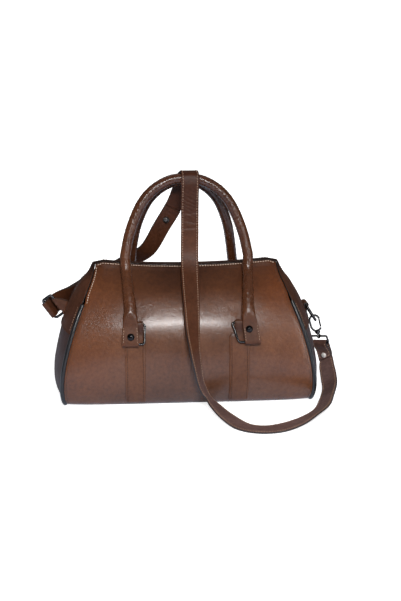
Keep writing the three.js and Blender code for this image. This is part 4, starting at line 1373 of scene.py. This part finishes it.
def rivet(name, node, facing, radius, finish, slot):
    low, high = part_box(node)
    facing = facing.normalized()
    centre = (low + high) / 2 / MM
    deselect()
    bpy.ops.mesh.primitive_uv_sphere_add(segments=32, ring_count=16, radius=radius)
    cap = named(name)
    bpy.ops.object.mode_set(mode='EDIT')
    bpy.ops.mesh.select_all(action='SELECT')
    bpy.ops.mesh.bisect(plane_co=(0, 0, CAP['cut'] * radius), plane_no=(0, 0, 1), clear_inner=True,
                        use_fill=True)
    bpy.ops.mesh.select_all(action='SELECT')
    bpy.ops.transform.resize(value=(CAP['narrowed'], CAP['narrowed'], CAP['flattened']))
    bpy.ops.object.mode_set(mode='OBJECT')
    deselect()
    bpy.ops.mesh.primitive_torus_add(major_radius=RIM['radius'] * radius, minor_radius=RIM['wire'] * radius,
                                     major_segments=32, minor_segments=8,
                                     location=(0, 0, RIM['rise'] * radius))
    rim = named(name + '_rim')
    bpy.ops.object.transform_apply(location=True)
    piece = merge(name, [cap, rim])
    turn = facing.to_track_quat('Z', 'Y').to_matrix().to_4x4()
    seat = centre - facing * CAP['seat'] * radius - facing * CAP['sink']
    piece.data.transform(Matrix.Diagonal((MM, MM, MM, 1)) @ Matrix.Translation(seat) @ turn)
    dress(piece, finish)
    smooth(piece, 40)
    return done(piece, slot, node)


for face, side, place_name in PLACES:
    corner = CORNERS[face, side]
    height = RIVET_HEIGHT + corner['rivet_rise']
    outer = over_panel(side * corner['rivet'], face, height, EAR_LIFT)
    inner_point = over_panel(side * corner['rivet'], face, height, 0)
    rivet('handle_rivet_cap_' + place_name, 'handle_rivet_' + place_name, outer - inner_point,
          HANDLE_RIVET_RADIUS, black_metal, 'gunmetal')

# %% [markdown]
# ## Rings on the ends and the snap hook
# A short tab on each end holds a ring. On the right the tab lies on the end and the ring hangs from it. On
# the left the tab stands off the end and turns from lying to upright, since its ring follows the pull of
# the strap.

# %% End tabs and rings
END_TAB_WIDTH = 20
END_LIFT = (STRIP_LEATHER + LEATHER) / 2 + GAP
RIGHT_TAB = {'sewn': (101, 106), 'climb': 9, 'tail': 3, 'thickness': LEATHER * 1.3}
RIGHT_RING = {'bar': (120, 5), 'hang': math.radians(58), 'depth': 26, 'slide': 0, 'wire': 1.9}
LEFT_RING = {'bar': (122, 13.8), 'bar_z': 128, 'tilt': math.radians(35), 'depth': 15, 'slide': 0.5,
             'wire': 2.0}
END_RING_WIDTH = 32
ROOT_STEPS = 6
BEND_STEPS = 18
BACKWARDS = Vector((0, 1, 0))

right_bar = over_end(1, *RIGHT_RING['bar'])
right_down = Vector((math.cos(RIGHT_RING['hang']), 0, -math.sin(RIGHT_RING['hang'])))
right_ring_foot = right_bar + right_down * RIGHT_RING['depth']
left_bar = over_end(-1, *LEFT_RING['bar'])
left_bar.z = LEFT_RING['bar_z']
left_down = Vector((-math.cos(LEFT_RING['tilt']), 0, -math.sin(LEFT_RING['tilt'])))
left_across = Vector((-math.sin(LEFT_RING['tilt']), 0, math.cos(LEFT_RING['tilt'])))
left_ring_foot = left_bar + left_down * LEFT_RING['depth']


def end_tab(side_name, path, ways, thickness):
    grid = [[p + w * ((u - 0.5) * END_TAB_WIDTH) for u in shares(6)] for p, w in zip(path, ways)]
    tab = laid_grid('end_tab_leather_' + side_name, grid)
    into_wall(tab, ear_leather, thickness)
    done(tab, 'dark_leather', 'end_tab_' + side_name)


right_rows = [(height, END_LIFT) for height in RIGHT_TAB['sewn']]
right_rows += fold_over(RIGHT_TAB['sewn'][0], RIGHT_TAB['climb'], END_LIFT, *RIGHT_RING['bar'],
                        RIGHT_TAB['tail'])
right_path = [over_end(1, height, lift) for height, lift in right_rows]
end_tab('right', right_path, [BACKWARDS] * len(right_path), RIGHT_TAB['thickness'])

root_height = LEFT_RING['bar'][0]
root = over_end(-1, root_height, STRIP_LEATHER / 2 + 0.2)
lying = (over_end(-1, root_height - 1, 0) - over_end(-1, root_height + 1, 0)).normalized()
upright = -left_across
bend = []
for s in shares(BEND_STEPS):
    angle = math.pi * (0.5 + s)
    bend.append(left_bar - left_down * (WIRE_WRAP * math.cos(angle))
                + Vector((0, WIRE_WRAP * math.sin(angle), 0)))
left_path, left_ways = [], []
for s in shares(ROOT_STEPS)[:-1]:
    left_path.append((root + Vector((0, WIRE_WRAP, 0))).lerp(bend[0], s))
    left_ways.append(lying.lerp(upright, s).normalized())
left_path += bend
left_ways += [upright] * len(bend)
for s in shares(ROOT_STEPS)[1:]:
    left_path.append(bend[-1].lerp(root - Vector((0, WIRE_WRAP, 0)), s))
    left_ways.append(upright.lerp(lying, s).normalized())
end_tab('left', left_path, left_ways, LEATHER)

for side_name, shape, bar, foot, across in (('left', LEFT_RING, left_bar, left_ring_foot, left_across),
                                            ('right', RIGHT_RING, right_bar, right_ring_foot, BACKWARDS)):
    hoop = ring('end_hoop_' + side_name, (bar + foot) / 2 + across * shape['slide'], across,
                (foot - bar).normalized(), END_RING_WIDTH, (foot - bar).length, RING_CORNER, shape['wire'])
    done(hoop, 'gunmetal', 'end_ring_' + side_name)

# %% [markdown]
# The snap hook clips into the right ring. Its bow is a wire that leaves the barrel on one side, runs up and
# bends over. A short heel on the other side carries the sprung gate, a thin rod that closes the bow. All of
# it is laid out in the chain's own axes: across the chain, and down it from the top of the barrel.

# %% Snap hook
LEAN = math.radians(17)
HOOK = {'wire': 1.6, 'half_width': 7.2, 'height': 24, 'barrel': 4.5, 'neck': 6}
SHANK = ((0, 1.5), (-2.6, 0.4), (-HOOK['half_width'] * 0.75, -2.6), (-HOOK['half_width'], -HOOK['neck'] - 1))
HOOK_HEEL = ((0, 1), (2.8, 0.4), (5.3, -1), (6.2, -2.5))
BARREL = [(-0.6, 2.2), (0, 3.4), (0.5, 4), (1.8, 4), (2.1, 3.5), (2.5, 3.5), (2.8, 4), (4, 4),
          (HOOK['barrel'], 3.4)]
GATE = {'radius': 1.2, 'hinge': (6.4, -4), 'tip': (7, -15.6)}
chain_down = Vector((math.sin(LEAN), 0, -math.cos(LEAN)))
chain_right = Vector((math.cos(LEAN), 0, math.sin(LEAN)))
hook_top = right_ring_foot + chain_down * (HOOK['height'] - WIRE - HOOK['wire'] - GAP)


def on_hook(across, down):
    return hook_top + chain_down * down + chain_right * across


def turned(name, stations):
    """A round part on the chain: a disc extruded and scaled at stations of distance and radius."""
    radius = stations[0][1]
    deselect()
    bpy.ops.mesh.primitive_circle_add(vertices=24, radius=radius, fill_type='NGON')
    piece = named(name)
    bpy.ops.object.mode_set(mode='EDIT')
    bpy.ops.mesh.select_all(action='SELECT')
    for (before, _), (after, new_radius) in zip(stations, stations[1:]):
        bpy.ops.mesh.extrude_region_move(TRANSFORM_OT_translate={'value': (0, 0, after - before)})
        bpy.ops.transform.resize(value=(new_radius / radius, new_radius / radius, 1))
        radius = new_radius
    bpy.ops.mesh.select_all(action='SELECT')
    bpy.ops.mesh.normals_make_consistent(inside=False)
    bpy.ops.object.mode_set(mode='OBJECT')
    turn = chain_down.to_track_quat('Z', 'Y').to_matrix().to_4x4()
    seat = on_hook(0, stations[0][0])
    piece.data.transform(Matrix.Diagonal((MM, MM, MM, 1)) @ Matrix.Translation(seat) @ turn)
    piece.data.materials.append(gunmetal)
    smooth(piece, 35)
    return piece


shank = [smooth_curve(column) for column in zip(*SHANK)]
bow_path = [on_hook(shank[0](s), shank[1](s)) for s in shares(14)]
for s in shares(28):
    angle = math.pi * (1 - s)
    bow_path.append(on_hook(HOOK['half_width'] * math.cos(angle),
                            -HOOK['height'] + HOOK['half_width'] * (1 - math.sin(angle))))
bow = wire('snap_hook_bow', bow_path, HOOK['wire'], gunmetal, resolution=5)
heel = wire('snap_hook_heel', [on_hook(*p) for p in HOOK_HEEL], HOOK['wire'], gunmetal, resolution=5)
barrel = turned('snap_hook_barrel', BARREL)
hook = merge('snap_hook_metal', [bow, heel, barrel])
done(hook, 'gunmetal', 'snap_hook')

gate_path = [on_hook(*(blend(a, b, s) for a, b in zip(GATE['hinge'], GATE['tip']))) for s in shares(6)]
gate = wire('hook_gate_metal', gate_path, GATE['radius'], black_metal, resolution=5)
done(gate, 'gunmetal', 'hook_gate', body='gate')

# %% [markdown]
# Under the barrel a swivelling eye carries the strap's own ring, a flat rectangle of wire. It is turned about
# the chain as the strap pulls it, and the eye stands across it.

# %% Swivel eye and the strap's ring
EYE = {'radius': 3, 'wire': 1.1, 'neck': 0.4, 'stem': 2.4, 'waist': 1.8}
STRAP_RING = {'width': 29, 'height': 11, 'corner': 2.2, 'turn': math.radians(-43)}
eye_centre = HOOK['barrel'] + GAP + EYE['wire'] + EYE['radius'] + EYE['neck']
ring_across = Matrix.Rotation(STRAP_RING['turn'], 3, chain_down) @ BACKWARDS
eye_across = chain_down.cross(ring_across).normalized()
ring_top_bar = eye_centre + EYE['radius'] - EYE['wire'] - WIRE - GAP
strap_bar = on_hook(0, ring_top_bar + STRAP_RING['height'])
eye_path = []
for s in shares(28)[1:]:
    angle = 2 * math.pi * s
    eye_path.append(on_hook(0, eye_centre) + eye_across * (EYE['radius'] * math.cos(angle))
                    + chain_down * (EYE['radius'] * math.sin(angle)))
loop = wire('swivel_loop', eye_path, EYE['wire'], gunmetal, closed=True)
stem = turned('swivel_stem', [(HOOK['barrel'] + GAP, EYE['stem']), (5.4, EYE['stem']), (5.7, EYE['waist']),
                              (eye_centre - EYE['radius'] + 0.4, EYE['waist'])])
eye = merge('swivel_eye_metal', [loop, stem])
done(eye, 'gunmetal', 'swivel_eye')
strap_hoop = ring('strap_hoop', on_hook(0, ring_top_bar + STRAP_RING['height'] / 2), ring_across, chain_down,
                  STRAP_RING['width'], STRAP_RING['height'], STRAP_RING['corner'])
done(strap_hoop, 'gunmetal', 'strap_ring')

# %% [markdown]
# ## Shoulder strap
# The strap is one long cut of leather, sewn along both edges. It leaves its ring on the right, lies in a
# loop on the table, climbs the front, crosses the handles and comes down behind to the left ring. A row of
# the table is a place on its middle line and the way its grain side faces.

# %% Course of the strap
STRAP_WIDTH = 25
STRAP_THICKNESS = 2.4
ROUTE = [
    (211.5, -9, 28, -0.6, -0.72, 0.32), (210, -30, 19.5, -0.52, -0.5, 0.67),
    (205.5, -60, 14, -0.58, -0.08, 0.8), (191, -104, 11, -0.5, 0.15, 0.85), (180, -130, 9, -0.35, 0.28, 0.9),
    (163, -151, 7.2, -0.25, 0.26, 0.92), (139, -170, 3.4, -0.08, 0.1, 1), (110, -185, 1.9, 0, 0, 1),
    (86, -187, 1.9, 0, 0, 1), (66, -177, 2.1, 0, 0, 1), (49, -151, 4.5, 0.15, -0.05, 0.95),
    (33, -122, 12, 0.5, -0.15, 0.85), (23, -111, 22, 0.85, -0.2, 0.45), (15, -110, 38, 0.93, -0.35, 0.15),
    (10, -108.5, 62, 0.88, -0.45, 0.05), (6, -104, 88, 0.78, -0.6, 0.1), (4, -94.5, 113, 0.58, -0.76, 0.2),
    (3.5, -80, 140, 0.42, -0.8, 0.4), (3.5, -61.5, 163, 0.22, -0.78, 0.58), (4, -40, 184, 0.08, -0.82, 0.55),
    (4.5, -29, 205, 0, -0.95, 0.25), (5, -24, 240, 0, -1, 0.12), (5.5, -20.5, 282, 0, -1, 0.08),
    (6, -19.4, 305, 0, -0.98, 0.2), (6, -15.2, 316.4, 0, -0.72, 0.7), (5, -7.5, 319.4, 0, 0.05, 1),
    (4, 3, 316.8, 0, 0.28, 0.96), (2.5, 13, 313, 0, 0.42, 0.9), (-0.5, 20.5, 304, 0, 0.9, 0.45),
    (-4, 23.5, 292, -0.02, 0.98, 0.2), (-12, 27, 270, -0.05, 1, 0.15),
    (-32, 36, 234, -0.05, 0.96, 0.25), (-53, 52, 196, -0.05, 0.9, 0.4), (-76, 71, 178, -0.05, 0.86, 0.5),
    (-101, 79, 163, -0.06, 0.85, 0.52), (-127, 80, 149, -0.2, 0.83, 0.52), (-155, 75, 137, -0.48, 0.7, 0.53),
    (-174, 48, 129, -0.72, 0.6, 0.2),
]
STRAP_HANGS = {'right': 22, 'left': 21}


def spaced_curve(points):
    """A curve through points that never overshoots between unevenly spaced ones."""
    last = len(points) - 1
    first = points[0] * 2 - points[1]
    end = points[-1] * 2 - points[-2]
    padded = [first, *points, end]

    def point_at(t):
        place = min(max(t, 0), 1) * last
        i = min(int(place), last - 1)
        w = place - i
        p0, p1, p2, p3 = padded[i:i + 4]
        d0, d1, d2 = (max((b - a).length, 1e-6) ** 0.5 for a, b in ((p0, p1), (p1, p2), (p2, p3)))
        t1 = ((p1 - p0) / d0 - (p2 - p0) / (d0 + d1) + (p2 - p1) / d1) * d1
        t2 = ((p2 - p1) / d1 - (p3 - p1) / (d1 + d2) + (p3 - p2) / d2) * d1
        c2 = -3 * p1 + 3 * p2 - 2 * t1 - t2
        return p1 + t1 * w + c2 * w * w + (2 * p1 - 2 * p2 + t1 + t2) * w ** 3

    return point_at


start_face = ring_across.cross(chain_down).normalized()
if start_face.y > 0:
    start_face.negate()
end_face = (left_down * 0.85 + Vector((0, 0.53, 0))).normalized()
end_way = left_across.cross(end_face)
if end_way.y < 0:
    end_way.negate()
STRAP_WRAP = WIRE + 2 * GAP + STRAP_THICKNESS / 2
strap_start = strap_bar - start_face * STRAP_WRAP
strap_end = left_ring_foot + end_face * STRAP_WRAP
route_points = [Vector(row[:3]) for row in ROUTE]
route_points = [strap_start, strap_start + chain_down * STRAP_HANGS['right'], *route_points,
                strap_end + end_way * STRAP_HANGS['left'], strap_end]
route_faces = [Vector(row[3:]).normalized() for row in ROUTE]
route_faces = [start_face, start_face, *route_faces, end_face, end_face]
print('strap through', len(route_points), 'places')

# %% [markdown]
# Smooth curves through these places and facings are cut into rows at equal steps of the strap's length. At
# both ends the strap goes round its ring and lies back on itself, close to the layer under it: a short fold
# on the right and a long one on the left.

# %% Rows of the strap
FINE = 4000
STRAP_ROWS = 900
STRAP_LAYERS = STRAP_THICKNESS + GAP
FOLD_TAPER = 16
FOLD_LENGTHS = {'right': 27, 'left': 295}
FOLD_STEPS = 14
strap_middle = spaced_curve(route_points)
strap_facing = spaced_curve(route_faces)
fine_points = [strap_middle(i / FINE) for i in range(FINE + 1)]
fine_steps = [(b - a).length for a, b in zip(fine_points, fine_points[1:])]
fine_reach = np.concatenate([[0], np.cumsum(fine_steps)])
strap_reach = np.linspace(0, fine_reach[-1], STRAP_ROWS + 1)
strap_times = np.interp(strap_reach, fine_reach, np.arange(FINE + 1) / FINE)
strap_route = [(strap_middle(t), strap_facing(t).normalized()) for t in strap_times]


def folded_back(route, bar, length, sign):
    """The turn round a ring's bar and a fold that lies back along the start of a route."""
    reach = 0.0
    rows = []
    for i, (place, facing) in enumerate(route):
        if i:
            reach += (place - route[i - 1][0]).length
        if reach > length:
            break
        gap = blend(2 * STRAP_WRAP, STRAP_LAYERS, ease(reach, 0, FOLD_TAPER))
        rows.append((place + facing * (sign * gap), facing))
    start = (route[0][0] - bar).normalized()
    way = route[0][0] - route[1][0]
    way = (way - start * way.dot(start)).normalized()
    turn = []
    for s in shares(FOLD_STEPS)[1:-1]:
        angle = math.pi * s
        rim = bar + start * (STRAP_WRAP * math.cos(angle)) + way * (STRAP_WRAP * math.sin(angle))
        turn.append((rim, route[0][1]))
    return turn + rows


right_tail = folded_back(strap_route, strap_bar, FOLD_LENGTHS['right'], 1)
left_tail = folded_back(strap_route[::-1], left_ring_foot, FOLD_LENGTHS['left'], -1)
strap_rows = right_tail[::-1] + strap_route + left_tail
print('strap from ring to ring', round(fine_reach[-1]), 'mm')

# %% [markdown]
# Bent leather wrinkles on the inside of the bend. Shallow diagonal wrinkles and three deeper creases cross
# the strap just in front of the handles, where it has been bent and straightened often.

# %% Strap
STRAP_COLUMNS = 10
WRINKLES = {'before_y': -15, 'z': (225, 304), 'grow': (236, 272), 'fade': (286, 304), 'depth': 0.42}
STRAP_CREASES = ((241, 0.05), (250, -0.12), (262, 0.1))
STRAP_CREASE = {'depth': 0.6, 'half_width': 1.3}


def strap_wrinkle(place, across):
    if place.y >= WRINKLES['before_y'] or not WRINKLES['z'][0] < place.z < WRINKLES['z'][1]:
        return 0.0
    folds = math.sin(1.15 * place.z + 0.55 * across + 0.7 * math.sin(0.3 * place.z))
    wrinkle = WRINKLES['depth'] * folds * ease(place.z, *WRINKLES['grow'])
    wrinkle *= 1 - ease(place.z, *WRINKLES['fade'])
    for height, slant in STRAP_CREASES:
        off = place.z - height - slant * across
        wrinkle -= STRAP_CREASE['depth'] * math.exp(-(off / STRAP_CREASE['half_width']) ** 2)
    return wrinkle


def strap_grid():
    """Rows of points across the strap and the ways that its grain side faces."""
    grid, outwards = [], []
    side = None
    last = len(strap_rows) - 1
    for i, (place, facing) in enumerate(strap_rows):
        way = (strap_rows[min(i + 1, last)][0] - strap_rows[max(i - 1, 0)][0]).normalized()
        wanted = facing.cross(way)
        if side is not None and wanted.dot(side) < 0:
            wanted.negate()
        if side is None or wanted.length > 0.3:
            side = wanted.normalized()
        outward = facing - way * facing.dot(way)
        line = []
        for u in shares(STRAP_COLUMNS):
            across = (u - 0.5) * STRAP_WIDTH
            line.append(place + side * across + outward * strap_wrinkle(place, across))
        grid.append(line)
        outwards.append(outward.normalized() if outward.length > 1e-6 else facing)
    return grid, outwards


strap_points, strap_out = strap_grid()
strap = laid_grid('strap_leather_band', strap_points)
into_wall(strap, strap_leather, STRAP_THICKNESS, rounding=0.6)
done(strap, 'strap_leather', 'shoulder_strap')

# %% [markdown]
# Thread runs along both edges of the strap's grain side, along the edges of its right fold and across that
# fold's end. A rivet holds each fold: a small bright one on the right, its shine partly a painted
# reflection, and a larger worn one on the left.

# %% Stitches and rivets of the strap
STRAP_SEAMS = (0.1, 0.9)
FOLD_SEAM = (0.1, 0.5, 0.9)
FOLD_SEAM_ROW = 3
STRAP_THREAD_RADIUS = 0.6
RIVET_ROWS = {'right': 9, 'left': -12}
RIVET_RADII = {'right': 4.2, 'left': 4.9}


def on_strap(i, u):
    return strap_points[i][0].lerp(strap_points[i][-1], u) + strap_out[i] * (STRAP_THICKNESS / 2)


run_rows = range(len(right_tail), len(right_tail) + len(strap_route))
fold_rows = range(2, len(right_tail) - 12)
strap_lines = [([on_strap(i, u) for i in rows], [strap_out[i] for i in rows])
               for rows in (run_rows, fold_rows) for u in STRAP_SEAMS]
strap_lines.append(([on_strap(FOLD_SEAM_ROW, u) for u in FOLD_SEAM],
                    [strap_out[FOLD_SEAM_ROW]] * len(FOLD_SEAM)))
sew('strap_stitches', strap_thread, strap_lines, STRAP_THREAD_RADIUS)
# The right rivet's pale colour is bright steel with a painted reflection.
rivet('strap_rivet_cap_right', 'strap_rivet_right', strap_out[RIVET_ROWS['right']], RIVET_RADII['right'],
      bright_steel, 'bright_steel')
rivet('strap_rivet_cap_left', 'strap_rivet_left', -strap_out[RIVET_ROWS['left']], RIVET_RADII['left'],
      worn_metal, 'gunmetal')
